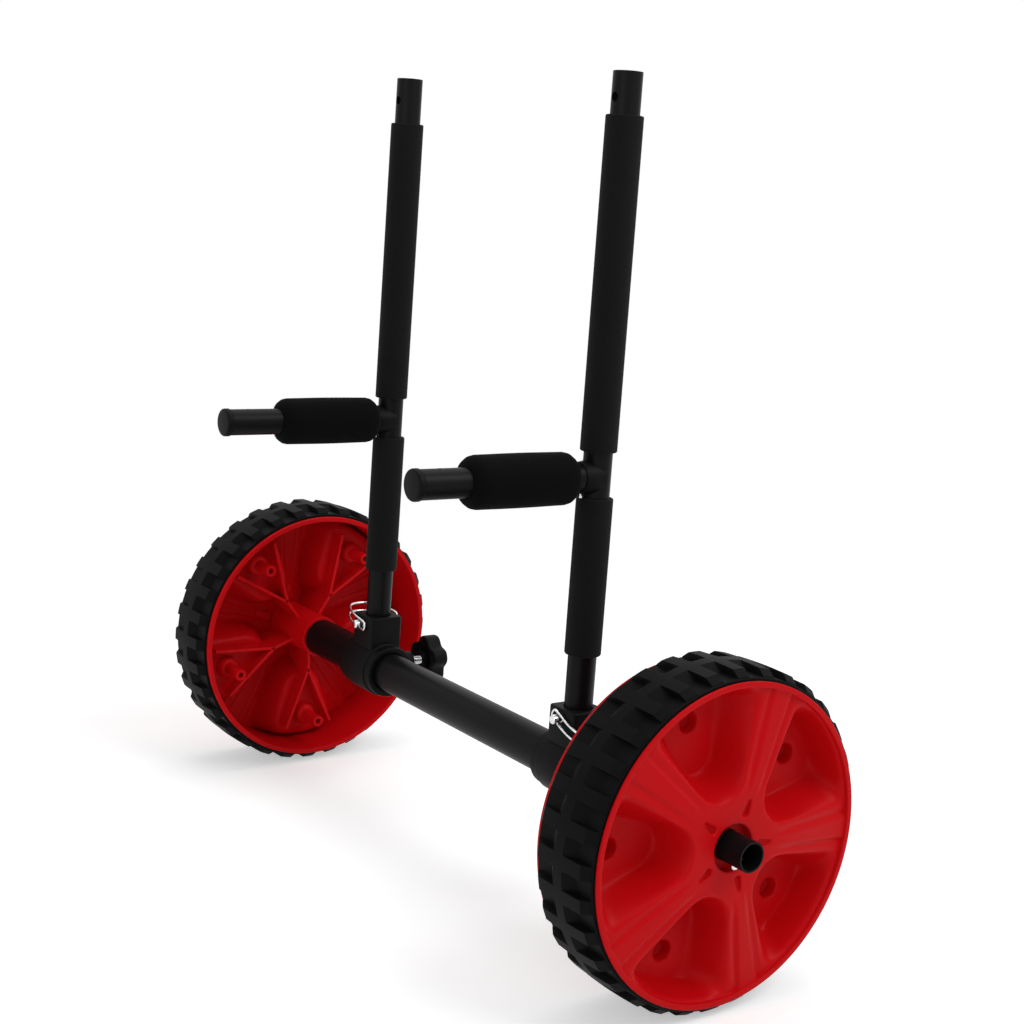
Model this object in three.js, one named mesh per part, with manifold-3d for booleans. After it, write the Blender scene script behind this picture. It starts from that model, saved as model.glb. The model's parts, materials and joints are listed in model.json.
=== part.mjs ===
// Kayak cart: two ribbed wheels on a tubular axle, and two clamped posts with foam-covered arms.
// Millimetres, +Z up. The axle runs along X, the arms point to -Y and the posts stand along +Z.
// The origin is under the middle of the whole cart, at the height of the ground.

import * as THREE from 'three';
import { mergeVertices } from 'three/addons/utils/BufferGeometryUtils.js';
import Module from 'manifold-3d';

const wasm = await Module();
wasm.setup();

// Clearances
const touchGap = 0.3;
const cutOverrun = 2;
const weldDistance = 1e-4;

// Wheel, measured from its own middle plane and axis
const wheelRadius = 124;
const wheelWidth = 64;
const tyreHeight = 8;
const rimLipWidth = 2;
const drumWall = 3;
const lipDepth = 4;
const lugCount = 32;
const grooveWidth = 13.4;
const treadDepth = 4;
const treadBandWidth = 9;
const treadRampLength = 9;
const shoulderDrop = 4;
const shoulderChamfer = 5;
const sidewallDrop = 2;

// Hub web, one moulded wall between the drum and the middle tube
const spokeCount = 5;
const hubWall = 4.5;
const noseStandOut = 2;
const noseRadius = 29;
const bossRadius = 19;
const bossStandIn = 4;
const recessMargin = 2.4;
const recessDepth = 8;
const floorDepth = 28;
const mouthInnerRadius = 35;
const innerSlopeLength = 13;
const outerSlopeLength = 7;
const webRimDrop = 2;
const spokeHalfWidth = 6;
const dimpleRadius = 8;
const dimpleDepth = 9;
const dimpleFromFloorEnd = 18;
const dimpleWall = 2.8;
const pegRadius = 5.2;
const pegBoreRadius = 2.6;
const ribWidth = 2.6;
const ribHeight = 13;
const ribApexRadius = 39;
const ribFromFloorEnd = 7;
const slotRadius = 3.2;
const slotInnerRadius = 25;
const slotOuterRadius = 39;
const slotDepth = 9;
const floorHalfAngle = 15;
const spokeFlareShare = 0.1;
const rightSpokeAngle = 20;
const leftSpokeAngle = 3;

// Axle
const axlePastButton = 16.5;
const innerTubeRadius = 11;
const outerTubeRadius = 17;
const tubeWall = 1.5;
const outerTubeHalfLength = 250;
const bushInsertLength = 24;
const bushFlangeLength = 5.4;
const bushLip = 2;

// Snap buttons that keep the wheels on
const wheelPlay = 7;
const buttonRadius = 3;
const buttonStandOut = 3.6;
const buttonFlangeRadius = 4.4;
const buttonFlangeThickness = 1;
const leafThickness = 0.8;
const leafWidth = 7;
const leafLength = 26;

// Posts, in heights above the axle
const leftPostX = -153.5;
const rightPostX = 145.5;
const postRadius = 11;
const postSeatWall = 3.7;
const postTop = 521;
const pinHoleSlack = 0.4;
const sleeveWall = 2.7;
const lowerSleeveBottom = 89;
const sleeveBelowArm = 15.3;
const sleeveAboveArm = 19.5;
const leftSleeveFromTop = 38;
const rightSleeveFromTop = 31;

// Socket: a square tower on a round collar
const towerWall = 4.7;
const towerAbovePin = 7.5;
const towerCorner = 3;
const collarWall = 6.7;
const collarWidth = 36;
const collarEndWall = 5.2;
const collarEndWidth = 9;
const clampBossLength = 13;
const clampBossRadius = 9;

// Clamp
const insertRadius = 6;
const insertLength = 12;
const studRadius = 4;
const knobRadius = 22;
const knobLobeDepth = 4;
const knobLobes = 5;
const knobLobeSides = 6;
const knobThickness = 15;
const knobBevel = 1.5;
const clampRoom = 13;
const knobHubRadius = 8;
const knobHubLength = 3;
const studKnobInsert = 9;

// Locking pin and its wire bail
const pinHeight = 40;
const pinRadius = 3.2;
const pinNeckRadius = 2.3;
const pinTipRadius = 3.8;
const pinTipLength = 4.5;
const pinNeckLength = 4;
const pinHeadRadius = 4.75;
const pinHeadLength = 5.5;
const wireRadius = 1;
const bailReach = 38;
const bailPastPin = 8;
const bailSlack = 0.6;
const leftBailTilt = 8;
const rightBailTilt = -24;

// Arms
const armHeight = 225;
const armTip = 162;
const armPadWall = 8.7;
const armPadFlat = 0.7;
const armPadLength = 93;
const leftPadFromSaddle = 0.4;
const rightPadFromSaddle = 7.1;
const saddleWall = 1.7;
const saddlePastPost = 5.9;
const saddleTaper = 1.2;
const capLength = 5;
const capLip = 0.7;
const capInsertLength = 14;
const capRound = 1.2;
const armHoleRadius = 2;
const armHoleFromTip = 22;
const screwRadius = 1.6;
const screwHeadRadius = 2.7;
const screwHeadLength = 1.6;
const screwFromSaddleEnd = 2.8;

// Counts of the round shapes' sides
const tubeSides = 16;
const smallSides = 8;
const wireSides = 5;
const bailSteps = 36;
const halfTurn = 180;

// Values that follow from the ones above
const outwardPlane = wheelWidth / 2;
const inwardPlane = -wheelWidth / 2;
const nosePlane = outwardPlane + noseStandOut;
const bossPlane = inwardPlane - bossStandIn;
const floorPlane = outwardPlane - floorDepth;
const rimRadius = wheelRadius - tyreHeight;
const drumOuterRadius = rimRadius - rimLipWidth;
const drumInnerRadius = drumOuterRadius - drumWall;
const tyreHalfWidth = wheelWidth / 2 - rimLipWidth - touchGap;
const tyreInnerRadius = drumOuterRadius + touchGap;
const treadFloorRadius = wheelRadius - treadDepth;
const mouthOuterRadius = drumInnerRadius;
const floorOuterRadius = mouthOuterRadius - outerSlopeLength;
const floorInnerRadius = mouthInnerRadius + innerSlopeLength;
const dimplePlaceRadius = floorOuterRadius - dimpleFromFloorEnd;
const ribEndRadius = floorOuterRadius - ribFromFloorEnd;
const recessRadius = innerTubeRadius + buttonStandOut + recessMargin;
const hubBoreRadius = innerTubeRadius + touchGap;
const collarBoreRadius = outerTubeRadius + touchGap;
const postBoreRadius = postRadius + touchGap;
const wheelMiddleX = outerTubeHalfLength + touchGap + bushFlangeLength + touchGap - bossPlane;
const recessFloorX = wheelMiddleX + nosePlane - recessDepth;
const buttonX = recessFloorX + wheelPlay + buttonRadius;
const axleHalfLength = buttonX + axlePastButton;
const collarRadius = collarBoreRadius + collarWall;
const collarEndRadius = collarBoreRadius + collarEndWall;
const bossY = collarRadius + clampBossLength;
const knobNear = bossY + clampRoom;
const towerWidth = 2 * (postBoreRadius + towerWall);
const towerTop = pinHeight + towerAbovePin;
const postBottom = collarBoreRadius + postSeatWall;
const postHoleRadius = pinRadius + pinHoleSlack;
const sleeveRadius = postBoreRadius + sleeveWall;
const lowerSleeveTop = armHeight - sleeveBelowArm;
const upperSleeveBottom = armHeight + sleeveAboveArm;
const leftSleeveTop = postTop - leftSleeveFromTop;
const rightSleeveTop = postTop - rightSleeveFromTop;
const bailSpread = pinNeckRadius + wireRadius + bailSlack;
const saddleRadius = postBoreRadius + saddleWall;
const saddleEnd = postBoreRadius + saddlePastPost;
const screwFromPost = saddleEnd - screwFromSaddleEnd;
const armPadRadius = postBoreRadius + armPadWall;
const armPadRound = armPadWall - armPadFlat;
const leftPadNear = saddleEnd + leftPadFromSaddle;
const rightPadNear = saddleEnd + rightPadFromSaddle;
const capRadius = postRadius + capLip;
const spokePitch = 2 * halfTurn / spokeCount;
const innerTubeRoom = (innerTubeRadius - tubeWall) * Math.cos(Math.PI / tubeSides);
const buttonSeat = touchGap - Math.sqrt(innerTubeRoom ** 2 - buttonFlangeRadius ** 2);
const groupShiftY = (armTip - wheelRadius) / 2;

const colours = {
  red: new THREE.MeshStandardMaterial({ color: 0xc0141a, roughness: 0.42, metalness: 0 }),
  tread: new THREE.MeshStandardMaterial({ color: 0x1b1c1d, roughness: 0.82, metalness: 0 }),
  tube: new THREE.MeshStandardMaterial({ color: 0x1a1a1c, roughness: 0.45, metalness: 0.3 }),
  moulding: new THREE.MeshStandardMaterial({ color: 0x161617, roughness: 0.55, metalness: 0 }),
  foam: new THREE.MeshStandardMaterial({ color: 0x111112, roughness: 0.95, metalness: 0 }),
  zinc: new THREE.MeshStandardMaterial({ color: 0xc4c6c8, roughness: 0.3, metalness: 1 }),
  brassInsert: new THREE.MeshStandardMaterial({ color: 0xb08d4c, roughness: 0.4, metalness: 1 }),
};

// Welds a geometry's corners, drops empty faces and turns the faces outwards.
function toSolid(geometry) {
  const bare = geometry.index ? geometry.toNonIndexed() : geometry.clone();
  bare.deleteAttribute('normal');
  bare.deleteAttribute('uv');
  const welded = mergeVertices(bare, weldDistance);
  const index = welded.index.array;
  const place = welded.attributes.position;
  const a = new THREE.Vector3();
  const b = new THREE.Vector3();
  const c = new THREE.Vector3();
  const faces = [];
  let volume = 0;
  for (let i = 0; i < index.length; i += 3) {
    const [p, q, r] = [index[i], index[i + 1], index[i + 2]];
    if (p === q || q === r || r === p) continue;
    faces.push(p, q, r);
    a.fromBufferAttribute(place, p);
    b.fromBufferAttribute(place, q);
    c.fromBufferAttribute(place, r);
    volume += a.dot(b.cross(c));
  }
  if (volume < 0) faces.reverse();
  const vertProperties = new Float32Array(place.array);
  const triVerts = new Uint32Array(faces);
  return new wasm.Manifold(new wasm.Mesh({ numProp: 3, vertProperties, triVerts }));
}

function toGeometry(solid) {
  const mesh = solid.getMesh();
  const geometry = new THREE.BufferGeometry();
  geometry.setAttribute('position', new THREE.BufferAttribute(mesh.vertProperties, 3));
  geometry.setIndex(new THREE.BufferAttribute(mesh.triVerts, 1));
  geometry.computeVertexNormals();
  return geometry;
}

function cutFrom(solid, cuts) {
  return cuts.reduce((left, cut) => left.subtract(toSolid(cut)), solid);
}

// A body turned about Z from a closed outline of [radius, height] points.
function turned(outline, sides) {
  const points = [...outline, outline[0]].map(([radius, height]) => new THREE.Vector2(radius, height));
  return new THREE.LatheGeometry(points, sides).rotateX(Math.PI / 2);
}

function turnedAlongX(outline, sides) {
  return turned(outline, sides).rotateY(Math.PI / 2);
}

function turnedAlongY(outline, sides) {
  return turned(outline, sides).rotateX(-Math.PI / 2);
}

// The outline of a pipe between two heights.
function pipe(outer, inner, low, high) {
  return [[inner, low], [outer, low], [outer, high], [inner, high]];
}

// The outline of a solid rod between two heights.
function rod(radius, low, high) {
  return [[0, low], [radius, low], [radius, high], [0, high]];
}

function extruded(points, depth, bevel = 0) {
  const shape = new THREE.Shape(points.map(([x, y]) => new THREE.Vector2(x, y)));
  return new THREE.ExtrudeGeometry(shape, {
    depth: depth - 2 * bevel,
    bevelEnabled: bevel > 0,
    bevelThickness: bevel,
    bevelSize: bevel,
    bevelOffset: -bevel,
    bevelSegments: 1,
  }).translate(0, 0, bevel);
}

function radians(degrees) {
  return THREE.MathUtils.degToRad(degrees);
}

// Height of the hub's outer face at a radius and an angle from the middle of its nearest pocket.
function hubFace(radius, angle) {
  const fall = THREE.MathUtils.smoothstep(radius, noseRadius, mouthOuterRadius);
  const spokePlane = nosePlane - (noseStandOut + webRimDrop) * fall;
  const spokeHalf = spokeHalfWidth + spokeFlareShare * radius;
  const mouthAngle = spokePitch / 2 - THREE.MathUtils.radToDeg(Math.asin(spokeHalf / radius));
  const sideRise = THREE.MathUtils.smoothstep(Math.abs(angle), floorHalfAngle, mouthAngle);
  const innerRise = 1 - THREE.MathUtils.smoothstep(radius, mouthInnerRadius, floorInnerRadius);
  const outerRise = THREE.MathUtils.smoothstep(radius, floorOuterRadius, mouthOuterRadius);
  const rise = Math.max(sideRise, innerRise, outerRise);
  return floorPlane + (spokePlane - floorPlane) * rise;
}

// Rings and rays of the web: each radius of the list crossed by each angle of one pocket.
function webRadii() {
  const middleRadius = (floorInnerRadius + floorOuterRadius) / 2;
  const innerSlope = (mouthInnerRadius + floorInnerRadius) / 2;
  const inner = [bossRadius - drumWall, mouthInnerRadius, innerSlope, floorInnerRadius];
  return [...inner, middleRadius, floorOuterRadius, mouthOuterRadius, drumInnerRadius + drumWall / 2];
}

// The shares of half a pocket put a ray on each edge of its floor, its walls and its spokes.
function webAngles() {
  const stopShares = [-1, -0.75, -0.42, 0.42, 0.75];
  const angles = [];
  for (let pocket = 0; pocket < spokeCount; pocket += 1) {
    for (const share of stopShares) angles.push([pocket * spokePitch, share * spokePitch / 2]);
  }
  return angles;
}

// The hub's wall as one closed sheet, drawn with X as its height.
function webSheet() {
  const radii = webRadii();
  const angles = webAngles();
  const places = [];
  for (const side of [0, -hubWall]) {
    for (const radius of radii) {
      for (const [middle, angle] of angles) {
        const turn = radians(middle + angle);
        places.push(hubFace(radius, angle) + side, radius * Math.sin(turn), radius * Math.cos(turn));
      }
    }
  }
  const across = angles.length;
  const layer = radii.length * across;
  const faces = [];
  const quad = (a, b, c, d) => faces.push(a, b, c, a, c, d);
  for (let ray = 0; ray < across; ray += 1) {
    const next = (ray + 1) % across;
    for (let ring = 0; ring + 1 < radii.length; ring += 1) {
      const [low, high] = [ring * across, (ring + 1) * across];
      quad(low + ray, low + next, high + next, high + ray);
      quad(layer + high + ray, layer + high + next, layer + low + next, layer + low + ray);
    }
    const last = layer - across;
    quad(last + ray, last + next, layer + last + next, layer + last + ray);
    quad(layer + ray, layer + next, next, ray);
  }
  const geometry = new THREE.BufferGeometry();
  geometry.setAttribute('position', new THREE.BufferAttribute(new Float32Array(places), 3));
  geometry.setIndex(faces);
  return toSolid(geometry);
}

// The drum that carries the tyre, with a lip at each edge.
function drum() {
  const lipInnerRadius = rimRadius - lipDepth - rimLipWidth;
  return toSolid(turnedWheel([
    [drumInnerRadius, inwardPlane + rimLipWidth],
    [lipInnerRadius + rimLipWidth, inwardPlane],
    [rimRadius, inwardPlane],
    [rimRadius, inwardPlane + rimLipWidth],
    [drumOuterRadius, inwardPlane + rimLipWidth],
    [drumOuterRadius, outwardPlane - rimLipWidth],
    [rimRadius, outwardPlane - rimLipWidth],
    [rimRadius, outwardPlane],
    [lipInnerRadius + rimLipWidth, outwardPlane],
    [drumInnerRadius, outwardPlane - rimLipWidth],
  ]));
}

// Sides of the wheel's round faces: one for each lug, with the corners between the lugs.
function turnedWheel(outline) {
  return turnedAlongX(outline, lugCount).rotateX(Math.PI / lugCount);
}

function placedOnRing(geometry, radius, degrees) {
  return geometry.clone().translate(0, 0, radius).rotateX(-radians(degrees));
}

// A dimple in each pocket: the part that is added behind the floor and the part that is cut from it.
function dimpleBacking() {
  const front = floorPlane - dimpleWall;
  const behind = front - dimpleDepth;
  const outer = dimpleRadius + dimpleWall;
  return turnedAlongX([[0, behind], [dimpleRadius, behind], [outer, front], [0, front]], smallSides);
}

function dimpleCut() {
  const bottom = floorPlane - dimpleDepth;
  const beyond = floorPlane + cutOverrun;
  return turnedAlongX([
    [0, bottom],
    [dimpleRadius - dimpleWall, bottom],
    [dimpleRadius, floorPlane],
    [dimpleRadius, beyond],
    [0, beyond],
  ], smallSides);
}

function peg() {
  const base = floorPlane - dimpleDepth - dimpleWall / 2;
  return turnedAlongX(rod(pegRadius, inwardPlane, base), smallSides);
}

function pegBore() {
  const depth = floorPlane - dimpleDepth - dimpleWall - cutOverrun;
  return turnedAlongX(rod(pegBoreRadius, inwardPlane - cutOverrun, depth), smallSides);
}

// One rib of each V behind a pocket, from the V's point to the rim.
function rib(sideSign) {
  const top = floorPlane - hubWall - ribHeight;
  const base = floorPlane - hubWall / 2;
  const end = radians(floorHalfAngle * sideSign);
  const run = new THREE.Vector2(ribEndRadius * Math.sin(end), ribEndRadius * Math.cos(end) - ribApexRadius);
  const length = run.length();
  const plate = new THREE.BoxGeometry(base - top, ribWidth, length);
  plate.translate((base + top) / 2, 0, length / 2);
  plate.rotateX(-Math.atan2(run.x, run.y));
  return plate.translate(0, 0, ribApexRadius);
}

// A slot that is round at the nose and narrows along its spoke.
function nailSlot() {
  const points = [];
  const roundSteps = 3;
  for (let step = 0; step <= roundSteps; step += 1) {
    const turn = Math.PI * step / roundSteps;
    points.push([slotRadius * Math.cos(turn), slotInnerRadius + slotRadius - slotRadius * Math.sin(turn)]);
  }
  points.push([0, slotOuterRadius]);
  const shape = extruded(points, slotDepth + cutOverrun).rotateX(Math.PI / 2).rotateZ(Math.PI / 2);
  return shape.scale(1, 1, -1).translate(nosePlane + cutOverrun, 0, 0);
}

// The hub is drawn for the right wheel, with its nose to +X.
function hubSolid(spokeAngle) {
  const boss = toSolid(turnedAlongX(rod(bossRadius, bossPlane, nosePlane), tubeSides));
  const noseBack = nosePlane - slotDepth - hubWall;
  const nose = toSolid(turnedAlongX(rod(noseRadius + drumWall / 2, noseBack, nosePlane), tubeSides));
  let body = webSheet().add(boss).add(nose);
  for (let pocket = 0; pocket < spokeCount; pocket += 1) {
    const middle = pocket * spokePitch;
    for (const added of [dimpleBacking(), peg()]) {
      body = body.add(toSolid(placedOnRing(added, dimplePlaceRadius, middle)));
    }
    for (const sideSign of [-1, 1]) body = body.add(toSolid(placedOnRing(rib(sideSign), 0, middle)));
    for (const cut of [dimpleCut(), pegBore()]) {
      body = body.subtract(toSolid(placedOnRing(cut, dimplePlaceRadius, middle)));
    }
    body = body.subtract(toSolid(placedOnRing(nailSlot(), 0, middle + spokePitch / 2)));
  }
  const bore = turnedAlongX(rod(hubBoreRadius, bossPlane - cutOverrun, nosePlane + cutOverrun), tubeSides);
  const recess = turnedAlongX(rod(recessRadius, nosePlane - recessDepth, nosePlane + cutOverrun), tubeSides);
  const web = toGeometry(body.subtract(toSolid(bore)).subtract(toSolid(recess)));
  return toSolid(web.rotateX(-radians(spokeAngle + spokePitch / 2))).add(drum());
}

// The tyre before its grooves: one flat side for each lug, chamfered at both shoulders.
function treadRing() {
  const crown = wheelRadius / Math.cos(Math.PI / lugCount);
  const shoulder = tyreHalfWidth - shoulderChamfer;
  return toSolid(turnedWheel([
    [tyreInnerRadius, -tyreHalfWidth],
    [crown - shoulderDrop, -tyreHalfWidth],
    [crown, -shoulder],
    [crown, shoulder],
    [crown - shoulderDrop, tyreHalfWidth],
    [tyreInnerRadius, tyreHalfWidth],
  ]));
}

// A groove between two lugs. It runs down a ramp from the middle band and out at the shoulder.
function groove(sideSign) {
  const start = treadBandWidth / 2;
  const ramp = start + treadRampLength;
  const above = wheelRadius + treadDepth;
  const beyond = tyreHalfWidth + cutOverrun;
  const outline = [
    [start, wheelRadius],
    [ramp, treadFloorRadius],
    [tyreHalfWidth - sidewallDrop, treadFloorRadius],
    [beyond, treadFloorRadius - sidewallDrop],
    [beyond, above],
    [start, above],
  ];
  const places = outline.map(([x, radius]) => [sideSign * x, radius]);
  return extruded(places, grooveWidth).translate(0, 0, -grooveWidth / 2).rotateX(Math.PI / 2);
}

function tyreSolid() {
  let body = treadRing();
  const lugPitch = 2 * halfTurn / lugCount;
  for (let count = 0; count < lugCount; count += 1) {
    const turn = lugPitch / 2 + lugPitch * count;
    for (const sideSign of [-1, 1]) {
      body = body.subtract(toSolid(placedOnRing(groove(sideSign), 0, turn)));
    }
  }
  return body;
}

// The axle's outer tube lies between the wheels, its inner tube carries them.
function outerTube() {
  const half = outerTubeHalfLength;
  return turnedAlongX(pipe(outerTubeRadius, outerTubeRadius - tubeWall, -half, half), tubeSides);
}

function innerTube() {
  const walls = pipe(innerTubeRadius, innerTubeRadius - tubeWall, -axleHalfLength, axleHalfLength);
  let body = toSolid(turnedAlongX(walls, tubeSides));
  for (const sign of [-1, 1]) {
    const hole = turned(rod(buttonRadius + touchGap, -innerTubeRadius - cutOverrun, 0), smallSides);
    body = body.subtract(toSolid(hole.translate(sign * buttonX, 0, 0)));
  }
  return toGeometry(body);
}

// A plug that centres the inner tube in the outer one, with a rounded flange at the wheel.
function axleBush(sign) {
  const flangeNear = outerTubeHalfLength + touchGap;
  const flangeFar = flangeNear + bushFlangeLength;
  const plugRadius = outerTubeRadius - tubeWall - touchGap;
  const bore = innerTubeRadius + touchGap;
  const outline = [
    [bore, flangeNear - bushInsertLength],
    [plugRadius, flangeNear - bushInsertLength],
    [plugRadius, flangeNear],
    [outerTubeRadius, flangeNear],
    [outerTubeRadius, flangeFar - bushLip],
    [outerTubeRadius - bushLip, flangeFar],
    [bore, flangeFar],
  ];
  return turnedAlongX(outline.map(([radius, x]) => [radius, sign * x]), tubeSides);
}

// The snap button's round stem sticks out below the tube, its flange stays inside.
function snapButton() {
  const tip = -(innerTubeRadius + buttonStandOut);
  const dome = tip + buttonRadius / 2;
  return turned([
    [0, tip],
    [buttonRadius * Math.SQRT1_2, tip],
    [buttonRadius, dome],
    [buttonRadius, buttonSeat],
    [buttonFlangeRadius, buttonSeat],
    [buttonFlangeRadius, buttonSeat + buttonFlangeThickness],
    [0, buttonSeat + buttonFlangeThickness],
  ], smallSides);
}

// A folded leaf spring inside the tube. Its lower leaf lies on the button, its upper one under the wall.
function buttonSpring() {
  const low = buttonSeat + buttonFlangeThickness + touchGap;
  const high = Math.sqrt(innerTubeRoom ** 2 - (leafWidth / 2) ** 2) - touchGap;
  const outline = [
    [buttonFlangeRadius, low],
    [buttonFlangeRadius, low + leafThickness],
    [-buttonFlangeRadius, low + leafThickness],
    [-leafLength + leafThickness, 0],
    [-buttonFlangeRadius, high - leafThickness],
    [0, high - leafThickness],
    [0, high],
    [-buttonFlangeRadius, high],
    [-leafLength, 0],
    [-buttonFlangeRadius, low],
  ];
  return extruded(outline, leafWidth).translate(0, 0, -leafWidth / 2).rotateX(Math.PI / 2);
}

function roundedSquare(width, corner) {
  const inset = width / 2 - corner;
  const shape = [];
  const cornerSteps = 3;
  const quarterTurn = Math.PI / 2;
  for (let quarter = 0; quarter < 4; quarter += 1) {
    const signX = quarter === 0 || quarter === 3 ? 1 : -1;
    const signY = quarter < 2 ? 1 : -1;
    for (let step = 0; step <= cornerSteps; step += 1) {
      const turn = quarterTurn * (quarter + step / cornerSteps);
      shape.push([signX * inset + corner * Math.cos(turn), signY * inset + corner * Math.sin(turn)]);
    }
  }
  return shape;
}

// The moulded socket of one post, with its bores for the axle, the post, the pin and the clamp.
function socketGeometry() {
  const half = collarWidth / 2;
  const end = half + collarEndWidth;
  const collar = turnedAlongX([
    [0, -end],
    [collarEndRadius, -end],
    [collarEndRadius, -half],
    [collarRadius, -half],
    [collarRadius, half],
    [collarEndRadius, half],
    [collarEndRadius, end],
    [0, end],
  ], tubeSides);
  const tower = extruded(roundedSquare(towerWidth, towerCorner), towerTop);
  const clampBoss = turnedAlongY(rod(clampBossRadius, 0, bossY), smallSides);
  const axleBore = turnedAlongX(rod(collarBoreRadius, -end - cutOverrun, end + cutOverrun), tubeSides);
  const postBore = turned(rod(postBoreRadius, postBottom - touchGap, towerTop + cutOverrun), tubeSides);
  const reach = towerWidth / 2 + cutOverrun;
  const pinBore = turnedAlongY(rod(pinRadius + touchGap, -reach, reach), smallSides);
  pinBore.translate(0, 0, pinHeight);
  const studBore = turnedAlongY(rod(studRadius + touchGap, 0, bossY + cutOverrun), smallSides);
  const seat = rod(insertRadius + touchGap, bossY - insertLength, bossY + cutOverrun);
  const insertSeat = turnedAlongY(seat, smallSides);
  const body = toSolid(collar).add(toSolid(tower)).add(toSolid(clampBoss));
  return cutFrom(body, [axleBore, postBore, pinBore, studBore, insertSeat]);
}

function clampInsert() {
  const bore = studRadius + touchGap;
  return turnedAlongY(pipe(insertRadius, bore, bossY - insertLength + touchGap, bossY), smallSides);
}

// The stud's tip rests on the axle tube; its other end is moulded into the knob.
function clampStud() {
  return turnedAlongY(rod(studRadius, collarBoreRadius, knobNear + studKnobInsert), smallSides);
}

function knobGeometry() {
  const steps = knobLobeSides * knobLobes;
  const points = [];
  for (let step = 0; step < steps; step += 1) {
    const turn = 2 * Math.PI * step / steps;
    const wave = (1 - Math.cos(knobLobes * turn)) / 2;
    const radius = knobRadius - knobLobeDepth * wave * wave;
    points.push([radius * Math.sin(turn), radius * Math.cos(turn)]);
  }
  const head = extruded(points, knobThickness, knobBevel).rotateX(-Math.PI / 2);
  const neck = turnedAlongY(rod(knobHubRadius, -knobHubLength, cutOverrun), smallSides);
  const boreEnd = studKnobInsert + touchGap;
  const boreRadius = (studRadius + touchGap) / Math.cos(Math.PI / smallSides);
  const bore = turnedAlongY(rod(boreRadius, -knobHubLength - cutOverrun, boreEnd), smallSides);
  const body = toSolid(head).add(toSolid(neck)).subtract(toSolid(bore));
  return toGeometry(body).translate(0, knobNear, 0);
}

function postTube() {
  let body = toSolid(turned(pipe(postRadius, postRadius - tubeWall, postBottom, postTop), tubeSides));
  const holeFromEnd = pinHeight - postBottom;
  for (const height of [postBottom + holeFromEnd, postTop - holeFromEnd]) {
    const reach = postRadius + cutOverrun;
    const hole = turnedAlongY(rod(postHoleRadius, -reach, reach), smallSides);
    body = body.subtract(toSolid(hole.translate(0, 0, height)));
  }
  return toGeometry(body);
}

function sleeve(low, high) {
  return turned(pipe(sleeveRadius, postBoreRadius, low, high), tubeSides);
}

// The pin goes through the tower along Y: its head at +Y, its necked tip at -Y.
function lockPin() {
  const face = towerWidth / 2 + touchGap;
  const neckEnd = -face - pinNeckLength;
  const tip = neckEnd - pinTipLength;
  const body = toSolid(turnedAlongY([
    [0, tip],
    [pinTipRadius - wireRadius, tip],
    [pinTipRadius, tip + wireRadius],
    [pinTipRadius, neckEnd],
    [pinNeckRadius, neckEnd],
    [pinNeckRadius, -face],
    [pinRadius, -face],
    [pinRadius, face],
    [pinHeadRadius, face],
    [pinHeadRadius, face + pinHeadLength - wireRadius],
    [pinHeadRadius - wireRadius, face + pinHeadLength],
    [0, face + pinHeadLength],
  ], smallSides));
  const holeReach = pinHeadRadius + cutOverrun;
  const wireHole = turned(rod(wireRadius + 2 * touchGap, -holeReach, holeReach), smallSides);
  return toGeometry(body.subtract(toSolid(wireHole.translate(0, face + pinHeadLength / 2, 0))));
}

// The bail is one bent wire. It starts in the head's cross-hole, goes round the post's socket,
// turns back past the pin's neck and ends in the other mouth of the cross-hole.
function pinBail() {
  const face = towerWidth / 2 + touchGap;
  const headY = face + pinHeadLength / 2;
  const neckY = -face - pinNeckLength / 2;
  const outside = pinHeadRadius + wireRadius + touchGap;
  const stub = pinHeadRadius / 2;
  const middleY = (headY + neckY) / 2;
  const half = (headY - neckY) / 2;
  const bend = 2 * wireRadius;
  const strand = [
    [0, headY, outside],
    [bend, headY, outside + bend],
    [bailReach / 3, headY, outside],
    [bailReach * 2 / 3, headY - half / 6, bailSpread + wireRadius],
    [bailReach - bend, middleY + half / 2, bailSpread],
    [bailReach, middleY, bailSpread],
    [bailReach - bend, middleY - half / 2, bailSpread],
    [bailReach * 2 / 3, neckY + half / 6, bailSpread],
    [bailReach / 3, neckY, bailSpread],
    [0, neckY, bailSpread],
    [-bailPastPin + bend, neckY, bailSpread],
  ];
  const closedEnd = [[-bailPastPin, neckY, bailSpread / 2], [-bailPastPin, neckY, -bailSpread / 2]];
  const back = strand.map(([x, y, z]) => [x, y, -z]).reverse();
  const mouth = (stub + outside) / 2;
  const start = [[0, headY, stub], [0, headY, mouth]];
  const end = [[0, headY, -mouth], [0, headY, -stub]];
  const route = [...start, ...strand, ...closedEnd, ...back, ...end];
  const places = route.map(([x, y, z]) => new THREE.Vector3(x, y, z));
  const curve = new THREE.CatmullRomCurve3(places, false, 'centripetal');
  const ring = [];
  for (let side = 0; side < wireSides; side += 1) {
    const turn = 2 * Math.PI * side / wireSides;
    ring.push(new THREE.Vector2(wireRadius * Math.cos(turn), wireRadius * Math.sin(turn)));
  }
  return new THREE.ExtrudeGeometry(new THREE.Shape(ring), { steps: bailSteps, extrudePath: curve });
}

// The saddle is coped to the post and holds the arm tube.
function armSaddle() {
  const outline = [
    [postBoreRadius, 0],
    [saddleRadius, 0],
    [saddleRadius, saddleEnd - saddleTaper],
    [postBoreRadius + 2 * touchGap, saddleEnd],
    [postBoreRadius, saddleEnd],
  ];
  const ring = toSolid(turnedAlongY(outline.map(([radius, y]) => [radius, -y]), tubeSides));
  const reach = saddleRadius + cutOverrun;
  const cope = turned(rod(postBoreRadius + touchGap, -reach, reach), tubeSides);
  const screwHole = turned(rod(screwRadius + touchGap, -reach, 0), smallSides);
  const body = ring.subtract(toSolid(cope)).subtract(toSolid(screwHole.translate(0, -screwFromPost, 0)));
  return toGeometry(body);
}

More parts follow.
